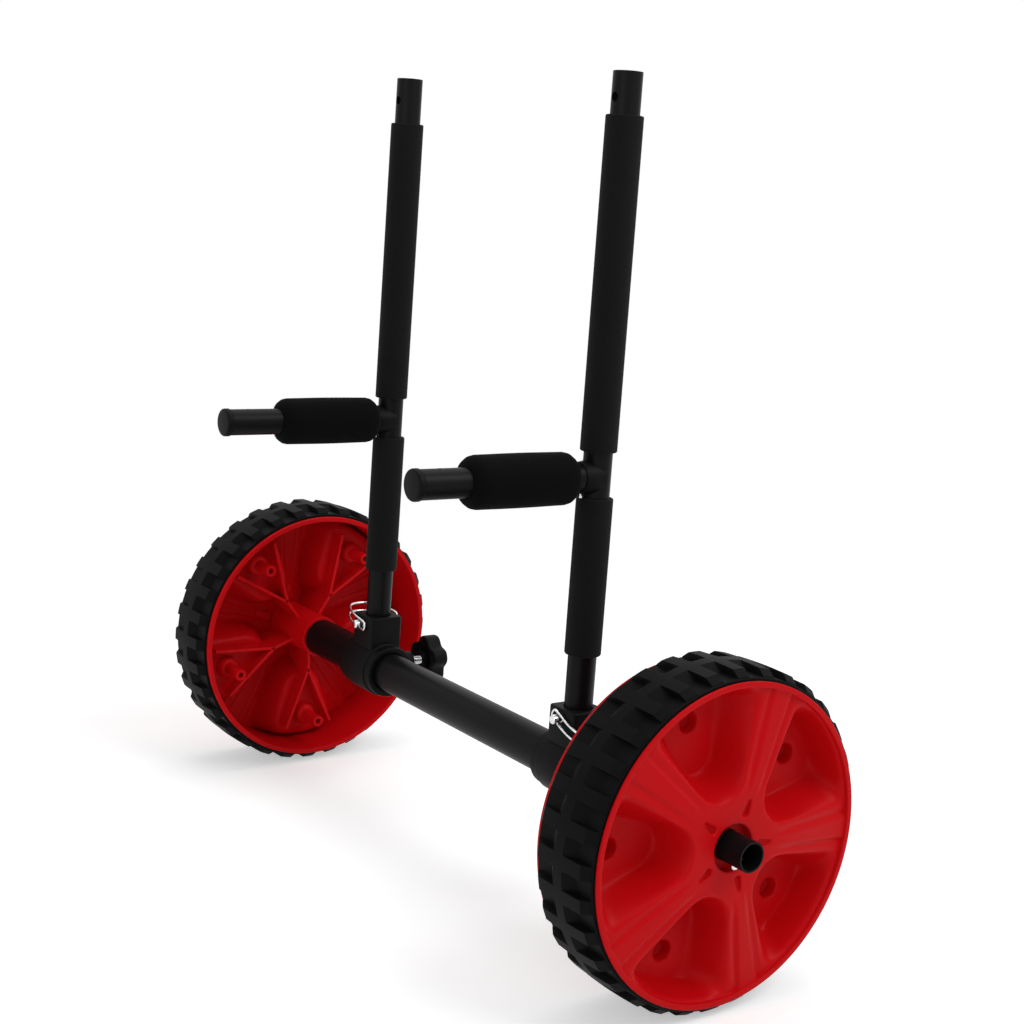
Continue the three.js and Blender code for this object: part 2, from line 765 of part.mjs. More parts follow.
function armTube() {
  const start = postBoreRadius + touchGap;
  const end = armTip - capLength - touchGap;
  const pipeOutline = pipe(postRadius, postRadius - tubeWall, -end, 0);
  const reach = postRadius + cutOverrun;
  const cope = turned(rod(start, -reach, reach), tubeSides);
  const screwHole = turned(rod(screwRadius + touchGap, -reach, 0), smallSides);
  const topHole = turned(rod(armHoleRadius, 0, reach), smallSides);
  const body = toSolid(turnedAlongY(pipeOutline, tubeSides));
  screwHole.translate(0, -screwFromPost, 0);
  topHole.translate(0, armHoleFromTip - armTip, 0);
  return toGeometry(cutFrom(body, [cope, screwHole, topHole]));
}

function armScrew() {
  const head = -(saddleRadius + touchGap);
  const end = -(postRadius - tubeWall - screwRadius);
  return turned([
    [0, head - screwHeadLength],
    [screwHeadRadius, head - screwHeadLength],
    [screwHeadRadius, head],
    [screwRadius, head],
    [screwRadius, end],
    [0, end],
  ], smallSides).translate(0, -screwFromPost, 0);
}

// The foam pad is round at both ends, and has one of its flat sides on top.
function armPad(near) {
  const far = near + armPadLength;
  const points = [[postBoreRadius, -near]];
  const roundSteps = 2;
  const inner = armPadRadius - armPadRound;
  for (let step = 0; step <= roundSteps; step += 1) {
    const turn = Math.PI / 2 * step / roundSteps;
    points.push([inner + armPadRound * Math.sin(turn), -near - armPadRound * (1 - Math.cos(turn))]);
  }
  for (let step = 0; step <= roundSteps; step += 1) {
    const turn = Math.PI / 2 * step / roundSteps;
    points.push([inner + armPadRound * Math.cos(turn), -far + armPadRound * (1 - Math.sin(turn))]);
  }
  points.push([postBoreRadius, -far]);
  const sideShare = 1 / Math.cos(Math.PI / tubeSides);
  const outline = points.map(([radius, y]) => [radius * sideShare, y]);
  return turnedAlongY(outline, tubeSides).rotateY(Math.PI / tubeSides);
}

function armCap() {
  const face = armTip - capLength;
  const insert = postRadius - tubeWall - touchGap;
  return turnedAlongY([
    [0, -armTip],
    [capRadius - capRound, -armTip],
    [capRadius, -armTip + capRound],
    [capRadius, -face],
    [insert, -face],
    [insert, -face + capInsertLength],
    [0, -face + capInsertLength],
  ], tubeSides);
}

const cart = new THREE.Group();
cart.position.set(0, groupShiftY, wheelRadius);

// Every piece goes through one solid, so that it is closed and its faces point out.
function piece(name, shape, material, parent) {
  const solid = shape instanceof THREE.BufferGeometry ? toSolid(shape) : shape;
  const mesh = new THREE.Mesh(toGeometry(solid), material);
  mesh.name = name;
  parent.add(mesh);
}

function addWheel(side, sign, spokeAngle) {
  const wheel = new THREE.Group();
  wheel.position.x = sign * wheelMiddleX;
  if (sign < 0) wheel.rotation.z = Math.PI;
  cart.add(wheel);
  piece(`${side}_hub`, hubSolid(spokeAngle), colours.red, wheel);
  piece(`${side}_tyre`, tyreSolid(), colours.tread, wheel);
}

function addAxleEnd(side, sign) {
  piece(`${side}_axle_bush`, axleBush(sign), colours.moulding, cart);
  const end = new THREE.Group();
  end.position.x = sign * buttonX;
  if (sign < 0) end.rotation.z = Math.PI;
  cart.add(end);
  piece(`${side}_snap_button`, snapButton(), colours.zinc, end);
  piece(`${side}_button_spring`, buttonSpring(), colours.zinc, end);
}

function addClamp(side, post) {
  piece(`${side}_clamp_insert`, clampInsert(), colours.brassInsert, post);
  piece(`${side}_clamp_stud`, clampStud(), colours.zinc, post);
  piece(`${side}_knob`, knobGeometry(), colours.moulding, post);
}

function addLockPin(side, bailSign, tilt, post) {
  const pin = new THREE.Group();
  pin.position.z = pinHeight;
  pin.rotation.y = -radians(tilt) * bailSign;
  post.add(pin);
  piece(`${side}_lock_pin`, lockPin(), colours.zinc, pin);
  piece(`${side}_pin_bail`, pinBail().scale(bailSign, 1, 1), colours.zinc, pin);
}

function addArm(side, padNear, post) {
  const arm = new THREE.Group();
  arm.position.z = armHeight;
  post.add(arm);
  piece(`${side}_arm_saddle`, armSaddle(), colours.moulding, arm);
  piece(`${side}_arm_tube`, armTube(), colours.tube, arm);
  piece(`${side}_arm_screw`, armScrew(), colours.zinc, arm);
  piece(`${side}_arm_pad`, armPad(padNear), colours.foam, arm);
  piece(`${side}_arm_cap`, armCap(), colours.moulding, arm);
}

function addPost(side, postX, sleeveTop, padNear, bailSign, tilt) {
  const post = new THREE.Group();
  post.position.x = postX;
  cart.add(post);
  piece(`${side}_socket`, socketGeometry(), colours.moulding, post);
  piece(`${side}_post_tube`, postTube(), colours.tube, post);
  piece(`${side}_lower_sleeve`, sleeve(lowerSleeveBottom, lowerSleeveTop), colours.foam, post);
  piece(`${side}_upper_sleeve`, sleeve(upperSleeveBottom, sleeveTop), colours.foam, post);
  addClamp(side, post);
  addLockPin(side, bailSign, tilt, post);
  addArm(side, padNear, post);
}

piece('axle_outer_tube', outerTube(), colours.tube, cart);
piece('axle_inner_tube', innerTube(), colours.tube, cart);
for (const [side, sign, spokeAngle] of [['left', -1, leftSpokeAngle], ['right', 1, rightSpokeAngle]]) {
  addAxleEnd(side, sign);
  addWheel(side, sign, spokeAngle);
}
addPost('left', leftPostX, leftSleeveTop, leftPadNear, -1, leftBailTilt);
addPost('right', rightPostX, rightSleeveTop, rightPadNear, 1, rightBailTilt);

export default cart;
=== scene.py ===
"""Kayak cart: the finished surfaces of its wheels, axle, clamped posts, lock pins and padded arms.

Lengths are metres and angles are radians unless a name says otherwise. +Z is up, the axle runs along X
and the arms point to -Y.
"""

import json
import math

import bmesh
import bpy
from bpy.props import FloatProperty, FloatVectorProperty, IntProperty, PointerProperty
from mathutils import Matrix, Quaternion, Vector


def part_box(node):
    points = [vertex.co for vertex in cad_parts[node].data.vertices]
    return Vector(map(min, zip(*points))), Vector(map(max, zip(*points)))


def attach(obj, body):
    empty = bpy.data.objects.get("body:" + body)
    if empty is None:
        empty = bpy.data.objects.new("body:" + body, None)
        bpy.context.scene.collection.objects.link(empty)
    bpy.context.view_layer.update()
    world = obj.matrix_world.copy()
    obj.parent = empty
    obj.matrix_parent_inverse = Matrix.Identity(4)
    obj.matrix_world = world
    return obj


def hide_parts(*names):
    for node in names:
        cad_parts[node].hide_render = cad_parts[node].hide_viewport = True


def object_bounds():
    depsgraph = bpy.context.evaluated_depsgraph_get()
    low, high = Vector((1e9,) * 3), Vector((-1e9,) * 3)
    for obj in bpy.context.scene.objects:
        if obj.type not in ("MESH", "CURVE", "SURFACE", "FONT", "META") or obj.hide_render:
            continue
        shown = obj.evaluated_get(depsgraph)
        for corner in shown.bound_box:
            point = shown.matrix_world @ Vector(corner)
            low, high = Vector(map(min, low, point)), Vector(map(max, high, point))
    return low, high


bl_info = {
    "name": "Kayak Cart",
    "version": (1, 0, 0),
    "blender": (4, 5, 0),
    "location": "View3D > Sidebar > Kayak Cart",
    "description": "Builds the finished pieces of a two-wheeled kayak cart around its frame",
    "category": "Add Mesh",
}

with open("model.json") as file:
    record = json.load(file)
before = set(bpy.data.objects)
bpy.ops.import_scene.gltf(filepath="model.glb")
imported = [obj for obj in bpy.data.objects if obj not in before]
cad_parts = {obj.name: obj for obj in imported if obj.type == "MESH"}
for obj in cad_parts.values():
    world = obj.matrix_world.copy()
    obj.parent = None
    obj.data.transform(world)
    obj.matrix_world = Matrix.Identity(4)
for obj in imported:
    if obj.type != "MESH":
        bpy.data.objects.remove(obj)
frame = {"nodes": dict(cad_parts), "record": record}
cad_low, cad_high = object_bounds()

SIDES = ("left", "right")
OUTWARD = {"left": -1, "right": 1}
BODIES = {node: body for body, nodes in frame["record"]["behaviour"]["bodies"].items() for node in nodes}
AXES = {
    "X": (Vector((1, 0, 0)), Vector((0, 0, 1))),
    "Y": (Vector((0, 1, 0)), Vector((0, 0, 1))),
    "Z": (Vector((0, 0, 1)), Vector((1, 0, 0))),
}
WELD = 1e-6
GRID_PITCH = 0.001
ROUND_STEPS = 64
SMALL_STEPS = 32
FILLET_STEPS = 4
SHARP_DEGREES = 32
CLOSE_FIT = 0.0002
PLUG_FIT = 0.0003
LOOSE_FIT = 0.0005
CUT_REACH = 0.03
SCREW_HOLE = 0.0019
STUD_HOLE = 0.0043
GRAIN_DEPTH = 0.0002
CELL_DEPTH = 0.0003
FLOOR_GAP = 0.0005


def node_middle(node):
    low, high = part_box(node)
    return (low + high) / 2


def node_size(node):
    low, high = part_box(node)
    return high - low


AXLE = node_middle("axle_outer_tube")


# Settings that a user would change


def length(name, default, description):
    return FloatProperty(
        name=name, description=description, default=default, unit="LENGTH", subtype="DISTANCE", precision=4
    )


def turn(name, default, description):
    return FloatProperty(
        name=name, description=description, default=math.radians(default), unit="ROTATION", subtype="ANGLE"
    )


def tint(name, default, description):
    return FloatVectorProperty(
        name=name, description=description, default=default, size=3, min=0, max=1, subtype="COLOR"
    )


class HubSettings(bpy.types.PropertyGroup):
    spokes: IntProperty(name="Spokes", description="Number of spokes and pockets", default=5, min=3, max=9)
    rim: length("Rim radius", 0.116, "Outer radius of the red lips")
    width: length("Width", 0.064, "Width of the hub without the stand-in of its inner lip")
    drum_wall: length("Drum wall", 0.003, "Thickness of the drum under the tyre")
    lip: length("Lip", 0.004, "Radial width of a lip")
    lip_stand: length("Inner lip stand-in", 0.002, "How far the inner lip stands in past half of the width")
    soft: length("Lip edge", 0.0006, "Rounding of the lips' edges")
    wall: length("Wall", 0.003, "Thickness of the moulded web")
    bore: length("Bore", 0.0113, "Bore radius, on the inner axle tube")
    nose: length("Nose stand-out", 0.002, "How far the nose stands out past the lip")
    nose_edge: length("Nose edge", 0.042, "Radius at which the spokes begin to fall away")
    boss: length("Boss radius", 0.019, "Radius of the tube round the axle")
    boss_length: length("Boss stand-in", 0.004, "How far the boss stands in past half of the width")
    recess: length("Recess radius", 0.017, "Radius of the recess round the axle")
    recess_depth: length("Recess depth", 0.008, "Depth of the recess round the axle")
    recess_edge: length("Recess edge", 0.0008, "Rounding of the recess's edges")
    floor_depth: length("Pocket depth", 0.028, "Depth of a pocket's floor below the lip")
    floor_start: length("Floor start", 0.048, "Radius at which a pocket's floor begins")
    floor_end: length("Floor end", 0.104, "Radius at which a pocket's floor ends")
    mouth_start: length("Mouth start", 0.034, "Radius at which a pocket's mouth begins")
    mouth_end: length("Mouth end", 0.111, "Radius at which a pocket's mouth ends")
    corner: length("Outer corner", 0.008, "Rounding of a pocket's outer corners")
    floor_angle: turn("Floor angle", 15, "Half of the angle that a pocket's floor takes")
    mouth_angle: turn("Mouth angle", 30.3, "Half of the angle between the sides of a pocket's mouth")
    spoke_root: length("Spoke half-width", 0.006, "Half-width of a spoke, drawn back to the axle")
    panel_root: length("Panel half-width", 0.0026, "Half-width of a spoke's raised panel at its start")
    panel_start: length("Panel start", 0.040, "Radius at which the raised panel starts to widen")
    panel_end: length("Panel end half-width", 0.0072, "Half-width of the panel at the pocket's outer end")
    valley: length("Valley width", 0.0034, "Distance from the panel's edge to the lowest line beside it")
    valley_depth: length("Valley depth", 0.0019, "Depth of the valleys beside the panel")
    roll: length("Roll height", 0.0008, "How far a spoke rises again between its valley and the pocket")
    dimple: length("Dimple radius", 0.0082, "Radius of the round dimple in each pocket")
    dimple_depth: length("Dimple depth", 0.0095, "Depth of the dimple")
    dimple_place: length("Dimple place", 0.086, "Distance of the dimple from the axle")
    peg: length("Peg radius", 0.0052, "Outer radius of the peg behind each dimple")
    peg_bore: length("Peg bore", 0.0026, "Bore radius of the peg")
    rib: length("Rib thickness", 0.0026, "Thickness of the ribs behind the pockets")
    rib_height: length("Rib height", 0.013, "Height of the ribs above the back of the floor")
    rib_apex: length("Rib point", 0.039, "Radius of the point of each V of ribs")
    rib_end: length("Rib end", 0.098, "Radius at which the ribs end")
    slot: length("Slot half-width", 0.0033, "Half-width of the drop-shaped slot on each spoke")
    slot_tip: length("Slot tip", 0.0019, "Half-width of the slot at its narrow end")
    slot_start: length("Slot start", 0.0215, "Radius of the slot's round end")
    slot_end: length("Slot end", 0.0358, "Radius of the slot's narrow end")
    slot_depth: length("Slot depth", 0.0038, "Depth of the slot at its round end")
    left_turn: turn("Left hub turn", 3, "Turn of the left hub on the axle")
    right_turn: turn("Right hub turn", 20, "Turn of the right hub on the axle")


class TyreSettings(bpy.types.PropertyGroup):
    lugs: IntProperty(name="Lugs", description="Number of lugs round the tyre", default=32, min=8, max=64)
    radius: length("Radius", 0.124, "Radius over the lugs")
    bore: length("Bore", 0.1143, "Inner radius, on the drum")
    half_width: length("Half-width", 0.0297, "Half of the tyre's width, between the lips")
    depth: length("Tread depth", 0.0058, "Depth of the grooves")
    lug: length("Lug length", 0.0104, "Length of a lug round the tyre")
    draft: length("Draft", 0.0006, "Lean of the lugs' walls")
    band: length("Middle band", 0.009, "Width of the unbroken middle band")
    ramp: length("Ramp", 0.009, "Length of the slope from the band to the groove")
    chamfer_start: length("Chamfer start", 0.0228, "Distance from the middle at which a lug starts to slope")
    chamfer_drop: length("Chamfer drop", 0.0050, "How far a lug has fallen at its end")
    crown: length("Crown", 0.0007, "How far the tread falls before the lugs' end faces")
    lug_end: length("Lug end", 0.0286, "Distance from the middle at which a lug ends")
    edge: length("Edge rounding", 0.0004, "Width of the rounding along the lugs' edges")


class TubeSettings(bpy.types.PropertyGroup):
    wall: length("Tube wall", 0.0015, "Wall of all the tubes")
    edge: length("Tube edge", 0.0003, "Rounding of a tube's cut ends")
    pin_hole: length("Pin hole", 0.0036, "Radius of the holes through a post")
    pin_hole_from_end: length("Pin hole place", 0.019, "Distance of a post's holes from its ends")
    arm_hole: length("Arm hole", 0.0019, "Radius of the hole on top of an arm")
    arm_hole_from_tip: length("Arm hole place", 0.022, "Distance of that hole from the arm's tip")
    sleeve_edge: length("Sleeve edge", 0.0012, "Rounding of a foam sleeve's ends")


class SocketSettings(bpy.types.PropertyGroup):
    tower: length("Tower width", 0.032, "Width of the square tower")
    tower_corner: length("Tower corner", 0.003, "Rounding of the tower's upright edges")
    tower_top: length("Tower top rounding", 0.0012, "Rounding of the tower's top edge")
    collar: length("Collar radius", 0.024, "Radius of the collar on the axle")
    collar_width: length("Collar width", 0.036, "Width of the thick part of the collar")
    ring: length("Ring radius", 0.0225, "Radius of the thinner rings at the collar's ends")
    ring_width: length("Ring width", 0.009, "Width of each end ring")
    bore: length("Collar bore", 0.0176, "Bore radius of the collar")
    clamp_boss: length("Clamp boss radius", 0.009, "Radius of the boss that the clamp goes through")
    clamp_reach: length("Clamp boss reach", 0.037, "Distance of the boss's face from the axle's middle")
    edge: length("Moulding edge", 0.0006, "Rounding of the moulding's edges")
    post_seat: length("Post seat", 0.0207, "Height of a post's seat above the axle's middle")
    pin_bore: length("Pin bore", 0.0035, "Radius of the tower's cross-hole")
    insert_bore: length("Insert bore", 0.0063, "Radius of the bore for the threaded insert")
    insert_seat: length("Insert seat", 0.0253, "Distance of the insert's seat from the axle's middle")


class ClampSettings(bpy.types.PropertyGroup):
    lobes: IntProperty(name="Lobes", description="Number of lobes on the knob", default=5, min=3, max=8)
    knob: length("Knob radius", 0.022, "Radius over the lobes")
    lobe_depth: length("Lobe depth", 0.0045, "Depth of the hollows between the lobes")
    knob_edge: length("Knob edge", 0.002, "Rounding of the knob's edges")
    knob_hollow: length("Knob hollow", 0.004, "Depth of the hollow round the knob's hub")
    knob_hub: length("Knob hub", 0.008, "Radius of the knob's hub")
    stud: length("Stud radius", 0.0039, "Radius over the stud's threads")
    pitch: length("Thread pitch", 0.00125, "Pitch of the stud's thread")
    thread: length("Thread depth", 0.0004, "Depth of the stud's thread")


class PinSettings(bpy.types.PropertyGroup):
    shaft: length("Pin radius", 0.0032, "Radius of the lock pin")
    neck: length("Neck radius", 0.0023, "Radius of the neck that the bail snaps over")
    tip: length("Tip radius", 0.0038, "Radius of the pin's tip")
    head: length("Head radius", 0.00475, "Radius of the pin's head")
    wire: length("Wire radius", 0.001, "Radius of the bail's wire")
    reach: length("Bail reach", 0.038, "How far the bail swings out from the pin")
    spread: length("Bail spread", 0.0039, "Half of the distance between the bail's two strands")
    left_tilt: turn("Left bail tilt", 8, "Tilt of the left bail above level")
    right_tilt: turn("Right bail tilt", -24, "Tilt of the right bail above level")


class ArmSettings(bpy.types.PropertyGroup):
    pad_round: length("Pad rounding", 0.0085, "Rounding of the foam pad's ends")
    pad_crown: length("Pad crown", 0.0004, "How far the pad swells at its middle")
    saddle: length("Saddle radius", 0.013, "Radius of the saddle at the post")
    saddle_end: length("Saddle end", 0.0118, "Radius of the saddle at its far end")
    cap_round: length("Cap rounding", 0.0018, "Rounding of the cap's face")
    cap_length: length("Cap length", 0.005, "Length of the cap outside the tube")


class FinishSettings(bpy.types.PropertyGroup):
    red: tint("Hub red", (0.56, 0.0028, 0.0055), "Colour of the moulded hubs")
    rubber: tint("Tyre black", (0.0024, 0.0025, 0.0028), "Colour of the tyres")
    tube: tint("Tube black", (0.0040, 0.0040, 0.0044), "Colour of the tubes")
    moulding: tint("Moulding black", (0.0027, 0.0027, 0.0030), "Colour of the moulded fittings")
    sleeve: tint("Sleeve black", (0.0052, 0.0053, 0.0055), "Colour of the posts' foam sleeves")
    pad: tint("Pad black", (0.0028, 0.0029, 0.0030), "Colour of the arms' foam pads")
    zinc: tint("Zinc", (0.70, 0.71, 0.72), "Colour of the plated steel")
    brass: tint("Brass", (0.58, 0.42, 0.17), "Colour of the threaded inserts")


class StageSettings(bpy.types.PropertyGroup):
    lens: FloatProperty(
        name="Lens", description="Focal length in millimetres", default=59.18, min=10, max=300
    )
    azimuth: turn("Azimuth", 54.28, "Direction of the camera round the cart")
    elevation: turn("Elevation", 8.80, "Height of the camera above the horizon")
    roll: turn("Roll", 4.07, "Roll of the camera")
    place: FloatVectorProperty(
        name="Camera place", description="Where the camera stands", default=(1.1152, -0.7555, 0.5451),
        size=3, unit="LENGTH", subtype="TRANSLATION"
    )
    shift_x: FloatProperty(name="Shift X", description="Sideways shift of the picture", default=-0.0009)
    shift_y: FloatProperty(name="Shift Y", description="Upward shift of the picture", default=-0.0455)
    floor: tint("Floor", (0.86, 0.86, 0.86), "Colour of the floor")
    floor_size: length("Floor size", 12.0, "Width of the floor")
    floor_near: length("Floor near", 0.55, "Distance at which the floor starts to turn white")
    floor_far: length("Floor far", 1.3, "Distance at which the floor is white")


# Turned and cut shapes


def filleted(corners):
    """Rounds the corners of a closed outline.

    A corner is (radius, height), with its fillet as a third value.
    """
    points = []
    for index, corner in enumerate(corners):
        here = Vector(corner[:2])
        if len(corner) < 3:
            points.append(here)
            continue
        before = (Vector(corners[index - 1][:2]) - here).normalized()
        after = (Vector(corners[(index + 1) % len(corners)][:2]) - here).normalized()
        half = before.angle(after) / 2
        centre = here + (before + after).normalized() * corner[2] / math.sin(half)
        start = here + before * corner[2] / math.tan(half) - centre
        end = here + after * corner[2] / math.tan(half) - centre
        bend = math.pi - 2 * half
        for step in range(FILLET_STEPS + 1):
            share = step / FILLET_STEPS
            swing = start * math.sin((1 - share) * bend) + end * math.sin(share * bend)
            points.append(centre + swing / math.sin(bend))
    return points


def turned(outline, axis, centre, steps=ROUND_STEPS):
    """A body spun round an axis from an outline of (radius, height) points."""
    along, outward = AXES[axis]
    bm = bmesh.new()
    verts = [bm.verts.new(centre + outward * point[0] + along * point[1]) for point in outline]
    edges = [bm.edges.new(pair) for pair in zip(verts, verts[1:])]
    if outline[0][0] > WELD:
        edges.append(bm.edges.new((verts[-1], verts[0])))
    spun(bm, verts + edges, centre, along, steps)
    return bm


def spun(bm, geometry, centre, along, steps):
    bmesh.ops.spin(
        bm, geom=geometry, cent=centre, axis=along, dvec=(0, 0, 0), angle=math.tau, steps=steps,
        use_merge=True, use_normal_flip=False, use_duplicate=False
    )
    bmesh.ops.remove_doubles(bm, verts=bm.verts, dist=WELD)
    bmesh.ops.recalc_face_normals(bm, faces=bm.faces)


def outward(bm):
    """Turns the faces of a closed body outwards, whatever the order of its faces."""
    bmesh.ops.recalc_face_normals(bm, faces=bm.faces)
    if bm.calc_volume(signed=True) < 0:
        bmesh.ops.reverse_faces(bm, faces=bm.faces)


def pipe(outer, inner, low, high, edge):
    """The outline of a tube between two heights, with its cut ends rounded."""
    return filleted([
        (inner, low, edge), (outer, low, edge), (outer, high, edge), (inner, high, edge)
    ])


def rod(radius, low, high):
    return [(0, low), (radius, low), (radius, high), (0, high)]


def joined(target, *others):
    """Adds the faces of other bodies to a body."""
    for other in others:
        mesh = bpy.data.meshes.new("part")
        other.to_mesh(mesh)
        other.free()
        target.from_mesh(mesh)
        bpy.data.meshes.remove(mesh)


def as_object(bm, name):
    mesh = bpy.data.meshes.new(name)
    bm.to_mesh(mesh)
    bm.free()
    made = bpy.data.objects.new(name, mesh)
    bpy.context.scene.collection.objects.link(made)
    return made


def settled(made):
    """Gives an object the mesh that its modifiers make, and takes them off."""
    bpy.context.view_layer.update()
    result = bpy.data.meshes.new_from_object(made.evaluated_get(bpy.context.evaluated_depsgraph_get()))
    old = made.data
    made.modifiers.clear()
    made.data = result
    result.name = made.name
    bpy.data.meshes.remove(old)


def combined(made, others, operation):
    """Cuts other bodies from an object, or joins them to it, as one skin."""
    tools = [as_object(other, "tool") for other in others]
    for tool in tools:
        modifier = made.modifiers.new("combine", "BOOLEAN")
        modifier.operation = operation
        modifier.solver = "EXACT"
        modifier.object = tool
    settled(made)
    for tool in tools:
        mesh = tool.data
        bpy.data.objects.remove(tool)
        bpy.data.meshes.remove(mesh)


def softened(made, width, degrees):
    modifier = made.modifiers.new("edges", "BEVEL")
    modifier.width = width
    modifier.segments = 2
    modifier.limit_method = "ANGLE"
    modifier.angle_limit = math.radians(degrees)
    modifier.harden_normals = False
    modifier.miter_outer = "MITER_ARC"


def bevelled(bm, edges, width, segments):
    bmesh.ops.bevel(
        bm, geom=edges, offset=width, affect="EDGES", segments=segments, profile=0.5, material=-1
    )


def dressed(made, node, material, degrees=SHARP_DEGREES):
    """Finishes a piece: its shading and material, the body it rides on and the node it stands for."""
    made.data.shade_smooth()
    made.data.set_sharp_from_angle(angle=math.radians(degrees))
    made.data.materials.clear()
    made.data.materials.append(material)
    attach(made, BODIES[node])
    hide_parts(node)
    return made


def carried(node, material):
    """Gives a node of the frame its finish."""
    mesh = frame["nodes"][node].data
    mesh.materials.clear()
    mesh.materials.append(material)


# Finishes


def add(tree, kind, label=None, **values):
    """Adds a shader node. A value is set on the input of that name, or on the node itself."""
    node = tree.nodes.new(kind)
    node.label = label or ""
    for name, value in values.items():
        socket = node.inputs.get(name.replace("_", " "))
        if socket is None:
            setattr(node, name, value)
        else:
            socket.default_value = value
    return node


def new_group(name, inputs, outputs):
    """An empty node group with named sockets, and its input and output nodes."""
    tree = bpy.data.node_groups.new(name, "ShaderNodeTree")
    for label, kind, default in inputs:
        socket = tree.interface.new_socket(label, in_out="INPUT", socket_type=kind)
        if default is not None:
            socket.default_value = default
    for label, kind in outputs:
        tree.interface.new_socket(label, in_out="OUTPUT", socket_type=kind)
    return tree, tree.nodes.new("NodeGroupInput"), tree.nodes.new("NodeGroupOutput")


def grain_group():
    """Moulded or cast grain: a fine height, and a slow mottling from 0 to 1."""
    tree, given, made = new_group(
        "Surface grain",
        [
            ("Vector", "NodeSocketVector", None),
            ("Fine scale", "NodeSocketFloat", 900.0),
            ("Slow scale", "NodeSocketFloat", 18.0),
        ],
        [("Height", "NodeSocketFloat"), ("Mottle", "NodeSocketFloat")],
    )
    fine = add(tree, "ShaderNodeTexNoise", "grain", Detail=3.0, Roughness=0.6)
    slow = add(tree, "ShaderNodeTexNoise", "mottle", Detail=4.0, Roughness=0.55)
    tree.links.new(given.outputs["Vector"], fine.inputs["Vector"])
    tree.links.new(given.outputs["Vector"], slow.inputs["Vector"])
    tree.links.new(given.outputs["Fine scale"], fine.inputs["Scale"])
    tree.links.new(given.outputs["Slow scale"], slow.inputs["Scale"])
    tree.links.new(fine.outputs["Fac"], made.inputs["Height"])
    tree.links.new(slow.outputs["Fac"], made.inputs["Mottle"])
    return tree


def edge_highlight_group():
    """A mask of sharp convex edges, broken up by noise, where a lighter colour is painted as an edge
    highlight.
    """
    tree, given, made = new_group(
        "Painted edge highlight",
        [
            ("Vector", "NodeSocketVector", None),
            ("Start", "NodeSocketFloat", 0.52),
            ("Full", "NodeSocketFloat", 0.62),
        ],
        [("Mask", "NodeSocketFloat")],
    )
    edges = add(tree, "ShaderNodeNewGeometry", "edges")
    band = add(tree, "ShaderNodeMapRange", "edge band")
    broken = add(tree, "ShaderNodeTexNoise", "breaks", Scale=140.0, Detail=3.0)
    product = add(tree, "ShaderNodeMath", "broken edges", operation="MULTIPLY")
    tree.links.new(edges.outputs["Pointiness"], band.inputs["Value"])
    tree.links.new(given.outputs["Start"], band.inputs["From Min"])
    tree.links.new(given.outputs["Full"], band.inputs["From Max"])
    tree.links.new(given.outputs["Vector"], broken.inputs["Vector"])
    tree.links.new(band.outputs["Result"], product.inputs[0])
    tree.links.new(broken.outputs["Fac"], product.inputs[1])
    tree.links.new(product.outputs["Value"], made.inputs["Mask"])
    return tree


def cell_group():
    """Closed-cell foam: the height of its skin's cells."""
    tree, given, made = new_group(
        "Foam cells",
        [("Vector", "NodeSocketVector", None), ("Cell scale", "NodeSocketFloat", 700.0)],
        [("Height", "NodeSocketFloat")],
    )
    cells = add(tree, "ShaderNodeTexVoronoi", "cells")
    tree.links.new(given.outputs["Vector"], cells.inputs["Vector"])
    tree.links.new(given.outputs["Cell scale"], cells.inputs["Scale"])
    tree.links.new(cells.outputs["Distance"], made.inputs["Height"])
    return tree


def effect(name, maker):
    """A shared effect group, made once."""
    return bpy.data.node_groups.get(name) or maker()


def placed_group(tree, group, vector, **values):
    node = tree.nodes.new("ShaderNodeGroup")
    node.node_tree = group
    tree.links.new(vector, node.inputs["Vector"])
    for name, value in values.items():
        node.inputs[name.replace("_", " ")].default_value = value
    return node


def shaded(colour, factor):
    return (*(min(channel * factor, 1) for channel in colour), 1)


